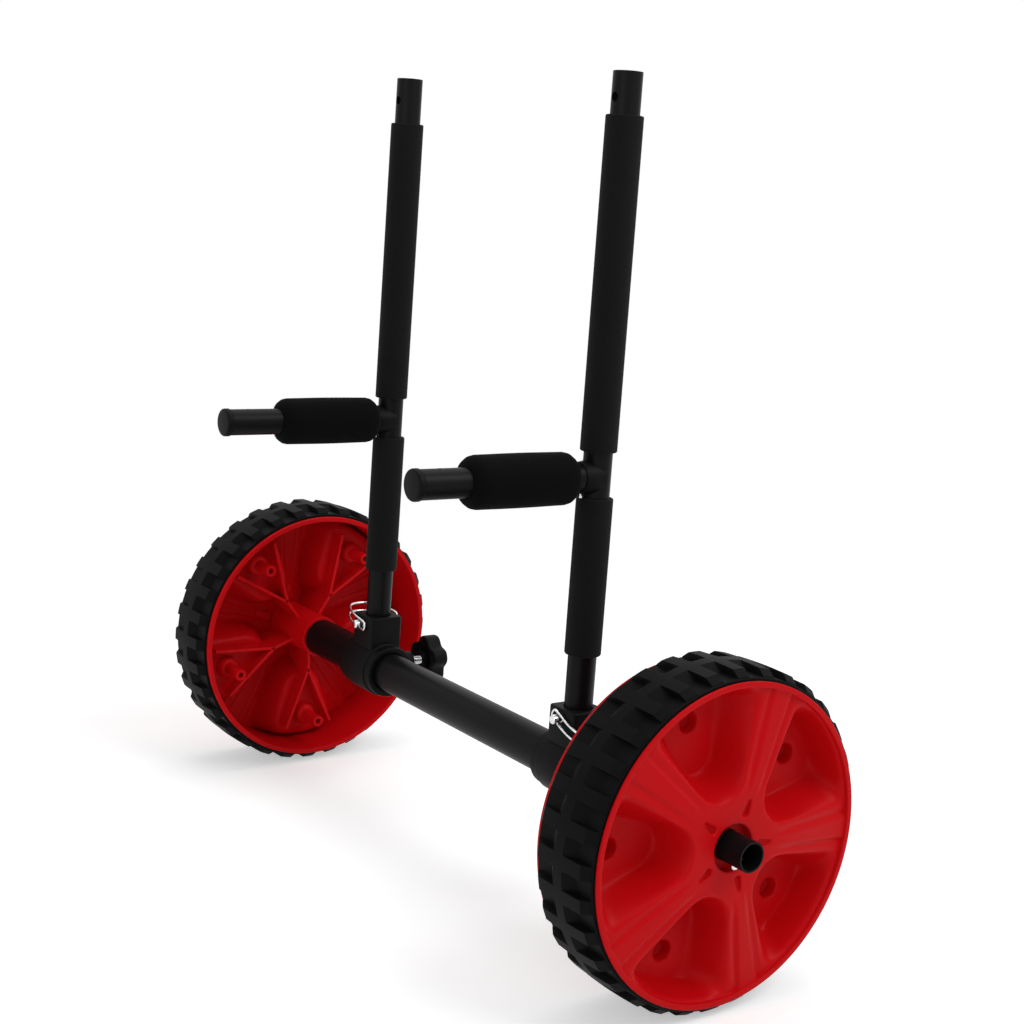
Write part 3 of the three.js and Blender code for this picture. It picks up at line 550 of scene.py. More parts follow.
def finish(
    name, colour, roughness, grain, bump, variation,
    metallic=0.0, edge_highlight=None, stretch=(1, 1, 1), shine=0.5
):
    """A finish with grain and slow variation, and with a lighter colour painted on its sharp edges as an
    edge highlight, where that colour is given.
    """
    material = bpy.data.materials.new(name)
    material.use_nodes = True
    tree = material.node_tree
    shader = tree.nodes["Principled BSDF"]
    shader.inputs["Metallic"].default_value = metallic
    shader.inputs["Specular IOR Level"].default_value = shine
    places = add(tree, "ShaderNodeTexCoord")
    mapping = add(tree, "ShaderNodeMapping", Scale=stretch)
    tree.links.new(places.outputs["Object"], mapping.inputs["Vector"])
    vector = mapping.outputs["Vector"]
    surface = placed_group(tree, effect("Surface grain", grain_group), vector, Fine_scale=grain)
    colours = add(tree, "ShaderNodeMix", "colour variation", data_type="RGBA")
    colours.inputs["A"].default_value = shaded(colour, 1 - variation)
    colours.inputs["B"].default_value = shaded(colour, 1 + variation)
    tree.links.new(surface.outputs["Mottle"], colours.inputs["Factor"])
    sheen = add(tree, "ShaderNodeMapRange", "roughness variation")
    sheen.inputs["To Min"].default_value = roughness * (1 - variation)
    sheen.inputs["To Max"].default_value = min(roughness * (1 + variation), 1)
    tree.links.new(surface.outputs["Mottle"], sheen.inputs["Value"])
    tree.links.new(sheen.outputs["Result"], shader.inputs["Roughness"])
    relief = add(tree, "ShaderNodeBump", "grain relief", Strength=bump, Distance=GRAIN_DEPTH)
    tree.links.new(surface.outputs["Height"], relief.inputs["Height"])
    tree.links.new(relief.outputs["Normal"], shader.inputs["Normal"])
    if edge_highlight is None:
        tree.links.new(colours.outputs["Result"], shader.inputs["Base Color"])
        return material
    # Painted edge highlight: a lighter colour mixed in on sharp convex edges.
    highlight_mask = placed_group(tree, effect("Painted edge highlight", edge_highlight_group), vector)
    edges = add(tree, "ShaderNodeMix", "painted highlight on edges", data_type="RGBA")
    edges.inputs["B"].default_value = (*edge_highlight, 1)
    tree.links.new(highlight_mask.outputs["Mask"], edges.inputs["Factor"])
    tree.links.new(colours.outputs["Result"], edges.inputs["A"])
    tree.links.new(edges.outputs["Result"], shader.inputs["Base Color"])
    return material


def cached(name, maker):
    return bpy.data.materials.get(name) or maker(name)


def red_plastic(settings):
    # A lighter red painted on the sharp edges as an edge highlight.
    edge_highlight = tuple(min(channel * 1.2 + 0.003, 1) for channel in settings.red)
    return cached("red moulded plastic", lambda name: finish(
        name, settings.red, 0.4, grain=650.0, bump=0.05, edge_highlight=edge_highlight, variation=0.05, shine=0.07
    ))


def tyre_rubber(settings):
    # A lighter black painted on the lugs' sharp edges as an edge highlight.
    edge_highlight = tuple(channel * 2.2 for channel in settings.rubber)
    return cached("tyre rubber", lambda name: finish(
        name, settings.rubber, 0.55, grain=420.0, bump=0.2, edge_highlight=edge_highlight, variation=0.2, shine=0.055
    ))


def black_tube(settings, axis):
    stretch = {"X": (0.06, 1, 1), "Y": (1, 0.06, 1), "Z": (1, 1, 0.06)}[axis]
    return cached(f"black tube along {axis}", lambda name: finish(
        name, settings.tube, 0.38, grain=500.0, bump=0.06, stretch=stretch, variation=0.12, shine=0.09
    ))


def black_moulding(settings):
    # A lighter black painted on the sharp edges as an edge highlight.
    edge_highlight = tuple(channel * 2.0 for channel in settings.moulding)
    return cached("black moulding", lambda name: finish(
        name, settings.moulding, 0.5, grain=1100.0, bump=0.18, edge_highlight=edge_highlight, variation=0.15, shine=0.08
    ))


def zinc_plate(settings):
    return cached("zinc plate", lambda name: finish(
        name, settings.zinc, 0.2, grain=300.0, bump=0.03, metallic=1.0, variation=0.08
    ))


def turned_brass(settings):
    return cached("turned brass", lambda name: finish(
        name, settings.brass, 0.3, grain=500.0, bump=0.05, metallic=1.0, variation=0.1
    ))


def black_foam(name, colour, sheen, shine):
    """Foam with the cells of its skin."""
    def maker(name):
        material = finish(name, colour, 0.92, grain=260.0, bump=0.3, variation=0.25, shine=shine)
        tree = material.node_tree
        shader = tree.nodes["Principled BSDF"]
        shader.inputs["Sheen Weight"].default_value = sheen
        shader.inputs["Sheen Roughness"].default_value = 0.6
        relief = shader.inputs["Normal"].links[0].from_node
        mapping = next(node for node in tree.nodes if node.bl_idname == "ShaderNodeMapping")
        cells = placed_group(tree, effect("Foam cells", cell_group), mapping.outputs["Vector"])
        skin = add(tree, "ShaderNodeBump", "cell relief", Strength=0.35, Distance=CELL_DEPTH)
        tree.links.new(cells.outputs["Height"], skin.inputs["Height"])
        tree.links.new(relief.outputs["Normal"], skin.inputs["Normal"])
        tree.links.new(skin.outputs["Normal"], shader.inputs["Normal"])
        return material
    return cached(name, maker)


def sleeve_foam(settings):
    return black_foam("sleeve foam", settings.sleeve, sheen=0.034, shine=0.085)


def pad_foam(settings):
    return black_foam("pad foam", settings.pad, sheen=0.012, shine=0.03)


# Wheels


def smooth_share(value, low, high):
    share = min(max((value - low) / (high - low), 0), 1)
    return share * share * (3 - 2 * share)


def polar_grid(rings, columns, closed):
    """A grid spun round X, with the ring and the column of each of its vertices."""
    bm = bmesh.new()
    verts = [bm.verts.new((0, 0, GRID_PITCH * (ring + 1))) for ring in range(rings)]
    edges = [bm.edges.new(pair) for pair in zip(verts, verts[1:])]
    if closed:
        edges.append(bm.edges.new((verts[-1], verts[0])))
    bmesh.ops.spin(
        bm, geom=verts + edges, cent=(0, 0, 0), axis=(1, 0, 0), dvec=(0, 0, 0), angle=-math.tau,
        steps=columns, use_merge=True, use_normal_flip=False, use_duplicate=False
    )
    places = {}
    for vert in bm.verts:
        ring = round(math.hypot(vert.co.y, vert.co.z) / GRID_PITCH) - 1
        share = math.atan2(vert.co.y, vert.co.z) / math.tau
        places[vert] = (ring, round(share * columns) % columns)
    return bm, places


def inside(point, root, half_angle, start):
    """Distance of a point inside a wedge round the pocket's axis, whose inner end is a tangent arc.

    The wedge's sides pass the axle at the distance root, and the arc crosses the pocket's axis at start.
    """
    rounding = (start * math.sin(half_angle) - root) / (1 - math.sin(half_angle))
    centre = Vector((0, start + rounding))
    along = Vector((math.sin(half_angle), math.cos(half_angle)))
    if (point - centre).dot(along) < 0:
        return rounding - (point - centre).length
    return point.y * math.sin(half_angle) - point.x * math.cos(half_angle) - root


def edge_angle(radius, root, half_angle, start):
    """Angle from the pocket's axis at which a circle round the axle leaves that wedge."""
    if radius <= start:
        return 0
    rounding = (start * math.sin(half_angle) - root) / (1 - math.sin(half_angle))
    centre = start + rounding
    tangent = math.hypot(rounding * math.cos(half_angle), centre - rounding * math.sin(half_angle))
    if radius > tangent:
        return half_angle - math.asin(root / radius)
    return math.acos((radius ** 2 + centre ** 2 - rounding ** 2) / (2 * radius * centre))


def blended_least(first, second, width):
    """The smaller of two values, with a round change-over."""
    overlap = max(width - abs(first - second), 0) / width
    return min(first, second) - overlap * overlap * width / 4


class HubShape:
    """The hub's outer face as a height over its radius and its angle from the middle of a pocket."""

    COLUMNS = (5, 13, 4, 4, 3)
    LEAST_FLOOR = 0.07
    LEAST_SIDE = 0.09
    PANEL_BEFORE = 0.006
    PANEL_AFTER = 0.022

    def __init__(self, sizes):
        self.sizes = sizes
        self.lip_plane = sizes.width / 2
        self.nose_plane = self.lip_plane + sizes.nose
        self.floor_plane = self.lip_plane - sizes.floor_depth
        self.half_pitch = math.pi / sizes.spokes
        self.half_columns = sum(self.COLUMNS)

    def panel(self, radius):
        """Half-width of the raised panel of a spoke."""
        sizes = self.sizes
        share = max(radius - sizes.panel_start, 0) / (sizes.mouth_end - sizes.panel_start)
        return sizes.panel_root + (sizes.panel_end - sizes.panel_root) * share

    def stops(self, radius):
        """Angles of the floor's edge, the mouth's edge, the valley and the panel's edge."""
        sizes = self.sizes
        reach = max(radius, sizes.mouth_start)
        floor = max(edge_angle(reach, 0, sizes.floor_angle, sizes.floor_start), self.LEAST_FLOOR)
        mouth = edge_angle(reach, sizes.spoke_root, sizes.mouth_angle, sizes.mouth_start)
        panel = self.panel(reach)
        valley = self.half_pitch - math.asin((panel + sizes.valley) / reach)
        edge = self.half_pitch - math.asin(panel / reach)
        return [0, floor, max(mouth, floor + self.LEAST_SIDE), valley, edge, self.half_pitch]

    def column_angle(self, column, radius):
        """Angle of a column from the middle of its pocket, counted outwards to the middle of the spoke."""
        stops = self.stops(radius)
        left = column
        for count, low, high in zip(self.COLUMNS, stops, stops[1:]):
            if left <= count:
                return low + (high - low) * left / count
            left -= count
        return self.half_pitch

    def spoke_height(self, radius, angle):
        """The spoke's face: a flat panel between two valleys, and a low roll at each pocket."""
        sizes = self.sizes
        fall = smooth_share(radius, sizes.nose_edge, sizes.mouth_end)
        plane = self.nose_plane - 2 * sizes.nose * fall
        start = sizes.panel_start
        grown = smooth_share(radius, start - self.PANEL_BEFORE, start + self.PANEL_AFTER)
        away = radius * math.sin(self.half_pitch - abs(angle))
        edge = self.panel(radius)
        step = smooth_share(away, edge, edge + sizes.valley)
        rise = smooth_share(away, edge + sizes.valley, edge + 2 * sizes.valley)
        return plane - grown * (sizes.valley_depth * step - sizes.roll * rise)

    def height(self, radius, angle):
        sizes = self.sizes
        spoke = self.spoke_height(radius, angle)
        point = Vector((radius * math.sin(abs(angle)), radius * math.cos(angle)))
        mouth = inside(point, sizes.spoke_root, sizes.mouth_angle, sizes.mouth_start)
        mouth = blended_least(mouth, sizes.mouth_end - radius, sizes.corner)
        if mouth <= 0:
            return spoke
        floor = inside(point, 0, sizes.floor_angle, sizes.floor_start)
        floor = blended_least(floor, sizes.floor_end - radius, sizes.corner)
        depth = smooth_share(mouth / (mouth - min(floor, 0)), 0, 1)
        return spoke + (self.floor_plane - spoke) * depth


def hub_rings(shape):
    """Radii of the web's rings, and the height of those that don't follow the web's face."""
    sizes = shape.sizes
    recess = sizes.recess
    edge = sizes.recess_edge
    nose = shape.nose_plane
    floor = nose - sizes.recess_depth
    rings = [(sizes.bore, floor), (recess - 2 * edge, floor), (recess - edge / 2, floor + edge / 3)]
    rings += [(recess, floor + 2 * edge), (recess, nose - edge), (recess + edge / 3, nose - edge / 3)]
    rings.append((recess + edge, nose))
    nose_band = 0.0025
    floor_band = 0.002
    stops = (
        recess + nose_band, sizes.mouth_start, sizes.floor_start + floor_band, sizes.floor_end,
        sizes.mouth_end,
    )
    for start, end, count in zip(stops, stops[1:], (10, 14, 26, 8)):
        rings += [(start + (end - start) * step / count, None) for step in range(count)]
    rings.append((sizes.mouth_end, None))
    rings.append((sizes.mouth_end + 0.0014, shape.lip_plane - 0.001))
    return rings


def hub_web(shape):
    """The moulded sheet from the bore to the lip, with its dimples and slots sunk in."""
    dimple_margin = 0.0022
    slot_margin = 0.0012
    slot_far_share = 0.55
    sizes = shape.sizes
    rings = hub_rings(shape)
    spokes = sizes.spokes
    per_pocket = 2 * shape.half_columns
    bm, places = polar_grid(len(rings), per_pocket * spokes, closed=False)
    for vert, (ring, column) in places.items():
        pocket, place = divmod(column + shape.half_columns, per_pocket)
        away = place - shape.half_columns
        radius, height = rings[ring]
        angle = math.copysign(shape.column_angle(abs(away), radius), away)
        turned_by = angle + pocket * 2 * shape.half_pitch
        x = shape.height(radius, angle) if height is None else height
        vert.co = Vector((x, radius * math.sin(turned_by), radius * math.cos(turned_by)))
    bmesh.ops.recalc_face_normals(bm, faces=bm.faces)
    face_outwards(bm)
    for pocket in range(spokes):
        middle = pocket * 2 * shape.half_pitch
        sink(bm, shape, middle, 0, dimple_outline(shape), sizes.dimple_depth, dimple_margin, 1)
        spoke = middle + shape.half_pitch
        outline = slot_outline(shape)
        sink(bm, shape, spoke, shape.half_pitch, outline, sizes.slot_depth, slot_margin, slot_far_share)
    return bm


def dimple_outline(shape):
    sizes = shape.sizes
    steps = 36
    return [
        (sizes.dimple * math.sin(math.tau * step / steps),
         sizes.dimple_place + sizes.dimple * math.cos(math.tau * step / steps))
        for step in range(steps)
    ]


def slot_outline(shape):
    """A drop: a wide arc at the nose and a narrow one along the spoke."""
    sizes = shape.sizes
    low = sizes.slot_start + sizes.slot
    high = sizes.slot_end - sizes.slot_tip
    lean = math.asin((sizes.slot - sizes.slot_tip) / (high - low))
    arcs = ((low, sizes.slot, lean, -math.pi - lean, 16), (high, sizes.slot_tip, math.pi - lean, lean, 6))
    points = []
    for centre, radius, first, last, steps in arcs:
        for step in range(steps + 1):
            swing = first + (last - first) * step / steps
            points.append((radius * math.cos(swing), centre + radius * math.sin(swing)))
    return divided(points, spacing=0.0016)


def divided(points, spacing):
    """A closed outline with its long sides divided."""
    result = []
    for first, second in zip(points, points[1:] + points[:1]):
        count = max(math.ceil(math.dist(first, second) / spacing), 1)
        result += [Vector(first).lerp(Vector(second), step / count) for step in range(count)]
    return result


def sink(bm, shape, middle, from_pocket, outline, depth, margin, far_depth):
    """Sinks a hollow with a rounded edge into the web.

    The outline's points lie across and along the line at the angle middle, and from_pocket is the angle
    from there to the middle of the nearest pocket. Its far end has the share far_depth of the depth.
    """
    side = Vector((0, math.cos(middle), -math.sin(middle)))
    out = Vector((0, math.sin(middle), math.cos(middle)))
    points = [Vector(point) for point in outline]
    centre = sum(points, Vector((0, 0))) / len(points)
    size = max((point - centre).length for point in points)
    reach = size + margin + 0.003

    def offset(place):
        return Vector((place.dot(side), place.dot(out))) - centre

    def past(place):
        return past_outline(offset(place), [point - centre for point in points])

    near = [face for face in bm.faces if offset(face.calc_center_median()).length < reach]
    doomed = [face for face in near if any(past(vert.co) < margin for vert in face.verts)]
    bmesh.ops.delete(bm, geom=doomed, context="FACES")
    rim_reach = margin + 0.005
    open_edges = [edge for edge in bm.edges if edge.is_boundary]
    rim = ordered([edge for edge in open_edges if all(past(vert.co) < rim_reach for vert in edge.verts)])
    if turns_left([offset(vert.co) for vert in rim]) != turns_left(points):
        rim.reverse()
    # How far in from the outline, and how deep, each loop of the hollow's wall lies
    profile = [(-0.0009, 0), (0, 0.0002), (0.0006, 0.0009), (0.0012, depth - 0.0016)]
    profile += [(0.0018, depth - 0.0006), (0.003, depth)]
    nearest = min(point.y for point in points)
    span = max(point.y for point in points) - nearest
    loops = []
    for inward, level in profile:
        loop = []
        for point in points:
            drop = level * (1 - (1 - far_depth) * (point.y - nearest) / span)
            place = centre + (point - centre) * (1 - inward / size)
            base = shape.height(place.length, from_pocket - abs(math.atan2(place.x, place.y)))
            loop.append(bm.verts.new(Vector((base - drop, 0, 0)) + side * place.x + out * place.y))
        loops.append(loop)
    zipped(bm, rim, loops[0])
    for upper, lower in zip(loops, loops[1:]):
        for index in range(len(upper)):
            before = index - 1
            bm.faces.new((upper[before], upper[index], lower[index], lower[before]))
    bm.faces.new(loops[-1])
    bmesh.ops.recalc_face_normals(bm, faces=bm.faces)
    face_outwards(bm)


def ordered(edges):
    """The vertices of a loop of edges, in their order."""
    loop = [edges[0].verts[0], edges[0].verts[1]]
    left = edges[1:]
    while len(left) > 1:
        edge = next(edge for edge in left if loop[-1] in edge.verts)
        left.remove(edge)
        loop.append(edge.other_vert(loop[-1]))
    return loop


def turns_left(points):
    return sum(first.cross(second) for first, second in zip(points, points[1:] + points[:1])) > 0


def zipped(bm, outer, inner):
    """Fills the space between two loops of vertices that run the same way."""
    start = min(range(len(inner)), key=lambda index: (inner[index].co - outer[0].co).length)
    outer = outer + outer[:1]
    inner = inner[start:] + inner[:start + 1]
    at_outer = at_inner = 0
    while at_outer < len(outer) - 1 or at_inner < len(inner) - 1:
        here = (outer[at_outer], inner[at_inner])
        outer_left = at_outer < len(outer) - 1
        inner_left = at_inner < len(inner) - 1
        by_outer = (outer[at_outer + 1].co - here[1].co).length if outer_left else math.inf
        by_inner = (inner[at_inner + 1].co - here[0].co).length if inner_left else math.inf
        if by_outer < by_inner:
            at_outer += 1
            bm.faces.new((*here, outer[at_outer]))
        else:
            at_inner += 1
            bm.faces.new((*here, inner[at_inner]))


def past_outline(offset, points):
    """Distance of a point past a star-shaped outline round the origin, less than zero inside it."""
    if offset.length < WELD:
        return -1
    for first, second in zip(points, points[1:] + points[:1]):
        cross = first.cross(second)
        along_first = offset.cross(second) / cross
        along_second = first.cross(offset) / cross
        if along_first >= -WELD and along_second >= -WELD:
            return offset.length * (1 - 1 / (along_first + along_second))
    raise ValueError("the outline doesn't surround its middle")


def face_outwards(bm):
    """Turns the web's faces towards +X."""
    if sum(face.normal.x * face.calc_area() for face in bm.faces) < 0:
        bmesh.ops.reverse_faces(bm, faces=bm.faces)


def hub_drum(sizes):
    """The drum under the tyre, with a lip at each edge."""
    half = sizes.width / 2
    low = -half - sizes.lip_stand
    soft = sizes.soft
    lip_step = 0.002
    slope = 0.003
    taper = 0.0002
    drum = sizes.rim - lip_step
    inner = drum - sizes.drum_wall
    lip_inner = sizes.rim - sizes.lip
    outline = filleted([
        (inner, low + slope), (lip_inner, low, soft), (sizes.rim, low, soft),
        (sizes.rim, -half + lip_step, soft / 2), (drum, -half + lip_step), (drum, half - lip_step),
        (sizes.rim, half - lip_step, soft / 2), (sizes.rim, half, soft), (lip_inner, half, soft),
        (inner + taper, half - slope),
    ])
    return turned(outline, "X", Vector((0, 0, 0)), 192)


def hub_boss(sizes):
    overlap = 0.0015
    top = sizes.width / 2 + sizes.nose - sizes.recess_depth - overlap
    low = -sizes.width / 2 - sizes.boss_length
    outline = filleted([
        (sizes.bore, low, 0.0005), (sizes.boss, low, 0.0008), (sizes.boss, top), (sizes.bore, top)
    ])
    return turned(outline, "X", Vector((0, 0, 0)))


def hub_peg(shape):
    sizes = shape.sizes
    low = -shape.lip_plane
    top = shape.floor_plane - sizes.dimple_depth - sizes.wall / 2
    outline = filleted([
        (sizes.peg_bore, low, 0.0003), (sizes.peg, low, 0.0004),
        (sizes.peg + 0.0004, top), (sizes.peg_bore, top),
    ])
    return turned(outline, "X", Vector((0, 0, sizes.dimple_place)), SMALL_STEPS)


def hub_rib(shape, start, end, angle):
    """A thin upright rib behind the web, from one radius to another."""
    sizes = shape.sizes
    bm = bmesh.new()
    top = shape.floor_plane - sizes.wall - sizes.rib_height
    stations = 14
    line = []
    for step in range(stations + 1):
        place = start.lerp(end, step / stations)
        base = shape.height(place.length, math.atan2(place.x, place.y)) - 0.6 * sizes.wall
        line.append(bm.verts.new((base, place.x, place.y)))
    edges = [bm.edges.new(pair) for pair in zip(line, line[1:])]
    wall = bmesh.ops.extrude_edge_only(bm, edges=edges)
    for item in wall["geom"]:
        if isinstance(item, bmesh.types.BMVert):
            item.co.x = top
    direction = (end - start).normalized()
    across = Vector((0, direction.y, -direction.x)) * sizes.rib
    bmesh.ops.translate(bm, verts=bm.verts, vec=-across / 2)
    second = bmesh.ops.extrude_face_region(bm, geom=list(bm.faces))
    moved = [item for item in second["geom"] if isinstance(item, bmesh.types.BMVert)]
    bmesh.ops.translate(bm, verts=moved, vec=across)
    bmesh.ops.recalc_face_normals(bm, faces=bm.faces)
    bmesh.ops.rotate(bm, verts=bm.verts, cent=(0, 0, 0), matrix=Matrix.Rotation(-angle, 3, "X"))
    return bm


def wheel_matrix(side, hub_turn):
    """Places a wheel drawn round X, with its nose to +X, on the axle."""
    facing = Matrix.Rotation(math.pi, 4, "Z") if side == "left" else Matrix.Identity(4)
    place = Matrix.Translation((node_middle(f"{side}_tyre").x, AXLE.y, AXLE.z))
    return place @ facing @ Matrix.Rotation(-hub_turn, 4, "X")


def make_hub(side, sizes, material):
    shape = HubShape(sizes)
    web = as_object(hub_web(shape), f"{side}_hub_dressed")
    shell = web.modifiers.new("wall", "SOLIDIFY")
    shell.thickness = sizes.wall
    shell.offset = -1
    shell.use_even_offset = False
    settled(web)
    bm = bmesh.new()
    bm.from_mesh(web.data)
    parts = [hub_drum(sizes), hub_boss(sizes)]
    for pocket in range(sizes.spokes):
        middle = pocket * 2 * shape.half_pitch
        peg = hub_peg(shape)
        bmesh.ops.rotate(peg, verts=peg.verts, cent=(0, 0, 0), matrix=Matrix.Rotation(-middle, 3, "X"))
        parts.append(peg)
        apex = Vector((0, sizes.rib_apex))
        for sign in (-1, 1):
            angle = sign * (sizes.floor_angle - math.radians(1.0))
            end = Vector((sizes.rib_end * math.sin(angle), sizes.rib_end * math.cos(angle)))
            parts.append(hub_rib(shape, apex, end, middle))
        parts.append(hub_rib(shape, Vector((0, sizes.boss - 0.001)), apex, middle))
    joined(bm, *parts)
    hub_turn = sizes.left_turn if side == "left" else sizes.right_turn
    bmesh.ops.transform(bm, matrix=wheel_matrix(side, hub_turn + shape.half_pitch), verts=bm.verts)
    bm.to_mesh(web.data)
    bm.free()
    dressed(web, f"{side}_hub", material, 50)


def tyre_height(sizes, across, on_lug):
    """Radius of the tread at a distance from the middle, on a lug or in a groove."""
    crown = sizes.crown * min(across / sizes.chamfer_start, 1) ** 2
    if on_lug:
        fall = max(across - sizes.chamfer_start, 0) / (sizes.lug_end - sizes.chamfer_start)
        return sizes.radius - crown - (sizes.chamfer_drop - sizes.crown) * fall
    fall = min(max(across - sizes.band / 2, 0) / sizes.ramp, 1)
    return sizes.radius - crown - (sizes.depth - crown) * fall


def make_tyre(side, sizes, material):
    """The tread is a grid whose lines lie on the lugs' edges, and whose rings run across and back inside."""
    ramp_end = sizes.band / 2 + sizes.ramp
    half = [
        sizes.band / 4, sizes.band / 2, (sizes.band / 2 + ramp_end) / 2, ramp_end,
        (ramp_end + sizes.chamfer_start) / 2, sizes.chamfer_start, sizes.lug_end,
    ]
    floor = sizes.radius - sizes.depth
    outer = [-value for value in reversed(half)] + [0.0] + half
    foot = 0.0005
    shoulder = [
        (sizes.lug_end + 0.0002, floor), (sizes.half_width - 0.0006, floor),
        (sizes.half_width, floor - 0.0009),
    ]
    inner = [(sizes.half_width, sizes.bore + foot), (sizes.half_width - foot, sizes.bore)]
    rings = [(-across, radius, False) for across, radius in reversed(shoulder)]
    rings += [(across, None, True) for across in outer]
    rings += [(across, radius, False) for across, radius in shoulder + inner]
    rings += [(-across, radius, False) for across, radius in reversed(inner)]
    pitch = math.tau / sizes.lugs
    lug = sizes.lug / sizes.radius / 2
    wall = sizes.draft / sizes.radius
    gap = pitch - 2 * (lug + wall)
    stations = [(-lug, True), (-lug / 3, True), (lug / 3, True), (lug, True)]
    stations += [(lug + wall + gap * share, False) for share in (0, 1 / 3, 2 / 3, 1)]
    bm, places = polar_grid(len(rings), len(stations) * sizes.lugs, closed=True)
    for vert, (ring, column) in places.items():
        count, place = divmod(column, len(stations))
        angle, on_lug = stations[place]
        across, radius, tread = rings[ring]
        if tread:
            radius = tyre_height(sizes, abs(across), on_lug)
        swing = angle + count * pitch
        vert.co = Vector((across, radius * math.sin(swing), radius * math.cos(swing)))
    bmesh.ops.transform(bm, matrix=wheel_matrix(side, 0), verts=bm.verts)
    outward(bm)
    tyre = as_object(bm, f"{side}_tyre_dressed")
    dressed(tyre, f"{side}_tyre", material, 24)
    softened(tyre, sizes.edge, 24)


# Axle


def make_axle(sizes, finishes):
    tube = black_tube(finishes, "X")
    for node in ("axle_outer_tube", "axle_inner_tube"):
        size = node_size(node)
        outline = pipe(size.z / 2, size.z / 2 - sizes.wall, -size.x / 2, size.x / 2, sizes.edge)
        made = as_object(turned(outline, "X", AXLE), f"{node}_dressed")
        if node == "axle_inner_tube":
            combined(made, [button_hole(side, size.z / 2) for side in SIDES], "DIFFERENCE")
        dressed(made, node, tube)
    for side in SIDES:
        make_bush(side, sizes, finishes)
        make_button(side, finishes)


def button_hole(side, reach):
    radius = 0.0033
    place = Vector((node_middle(f"{side}_snap_button").x, AXLE.y, AXLE.z))
    return turned(rod(radius, -2 * reach, 0), "Z", place, SMALL_STEPS)


def make_bush(side, sizes, finishes):
    low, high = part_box(f"{side}_axle_bush")
    tube_end = OUTWARD[side] * node_size("axle_outer_tube").x / 2
    near, far = (high.x, low.x) if side == "left" else (low.x, high.x)
    inner = node_size("axle_inner_tube").z / 2 + CLOSE_FIT
    outer = node_size("axle_outer_tube").z / 2
    plug = outer - sizes.wall - PLUG_FIT
    corners = [
        (inner, near), (plug, near), (plug, tube_end), (outer, tube_end, 0.0003),
        (outer, far, 0.0018), (inner, far, 0.0004),
    ]
    made = turned(filleted(corners), "X", Vector((0, AXLE.y, AXLE.z)))
    dressed(as_object(made, f"{side}_axle_bush_dressed"), f"{side}_axle_bush", black_moulding(finishes))


def make_button(side, finishes):
    low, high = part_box(f"{side}_snap_button")
    stem = 0.003
    flange_thickness = 0.001
    flange = (high.y - low.y) / 2
    place = node_middle(f"{side}_snap_button")
    seat = high.z - flange_thickness - AXLE.z
    corners = [
        (0, low.z - AXLE.z), (stem, low.z - AXLE.z, 0.0022), (stem, seat), (flange, seat, 0.0002),
        (flange, high.z - AXLE.z, 0.0002), (0, high.z - AXLE.z),
    ]
    made = turned(filleted(corners), "Z", Vector((place.x, AXLE.y, AXLE.z)), SMALL_STEPS)
    dressed(as_object(made, f"{side}_snap_button_dressed"), f"{side}_snap_button", zinc_plate(finishes))
    carried(f"{side}_button_spring", zinc_plate(finishes))


# Sockets


def post_place(side):
    return Vector((node_middle(f"{side}_post_tube").x, AXLE.y, AXLE.z))


def make_socket(side, sizes, finishes):
    place = post_place(side)
    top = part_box(f"{side}_socket")[1].z
    half = sizes.collar_width / 2
    end = half + sizes.ring_width
    edge = sizes.edge
    collar = filleted([
        (sizes.bore, -end, edge), (sizes.ring, -end, 2 * edge), (sizes.ring, -half, edge),
        (sizes.collar, -half, 2 * edge), (sizes.collar, half, 2 * edge), (sizes.ring, half, edge),
        (sizes.ring, end, 2 * edge), (sizes.bore, end, edge),
    ])
    made = as_object(turned(collar, "X", place, 96), f"{side}_socket_dressed")
    boss = filleted([
        (0, sizes.bore + 0.001), (sizes.clamp_boss, sizes.bore + 0.001),
        (sizes.clamp_boss, sizes.clamp_reach, 2 * edge), (0, sizes.clamp_reach),
    ])
    combined(made, [tower_body(sizes, place, top), turned(boss, "Y", place, SMALL_STEPS)], "UNION")
    post = node_size(f"{side}_post_tube").x / 2 + LOOSE_FIT
    pin = Vector((place.x, place.y, node_middle(f"{side}_lock_pin").z))
    past_boss = 0.05
    past_tower = 0.1
    cuts = [
        turned(rod(post, sizes.post_seat, past_tower), "Z", place),
        turned(rod(sizes.pin_bore, -sizes.tower, sizes.tower), "Y", pin, SMALL_STEPS),
        turned(rod(STUD_HOLE, 0.01, past_boss), "Y", place, SMALL_STEPS),
        turned(rod(sizes.insert_bore, sizes.insert_seat, past_boss), "Y", place, SMALL_STEPS),
    ]
    combined(made, cuts, "DIFFERENCE")
    dressed(made, f"{side}_socket", black_moulding(finishes), 40)
    softened(made, edge, 50)
    carried(f"{side}_clamp_insert", turned_brass(finishes))


def tower_body(sizes, place, top):
    """The square tower, from inside the collar to its top, with rounded edges."""
    bm = bmesh.new()
    bmesh.ops.create_cube(bm, size=1)
    start = place.z + sizes.bore + 0.0012
    bmesh.ops.scale(bm, verts=bm.verts, vec=(sizes.tower, sizes.tower, top - start))
    bmesh.ops.translate(bm, verts=bm.verts, vec=(place.x, place.y, (top + start) / 2))
    upright = [edge for edge in bm.edges if abs(edge.verts[0].co.z - edge.verts[1].co.z) > WELD]
    bevelled(bm, upright, sizes.tower_corner, 5)
    rim = [edge for edge in bm.edges if min(vert.co.z for vert in edge.verts) > top - WELD]
    bevelled(bm, rim, sizes.tower_top, 3)
    bmesh.ops.recalc_face_normals(bm, faces=bm.faces)
    return bm


# Clamps


def make_clamp(side, sizes, finishes):
    place = post_place(side)
    make_stud(side, sizes, finishes, place)
    make_knob(side, sizes, finishes, place)


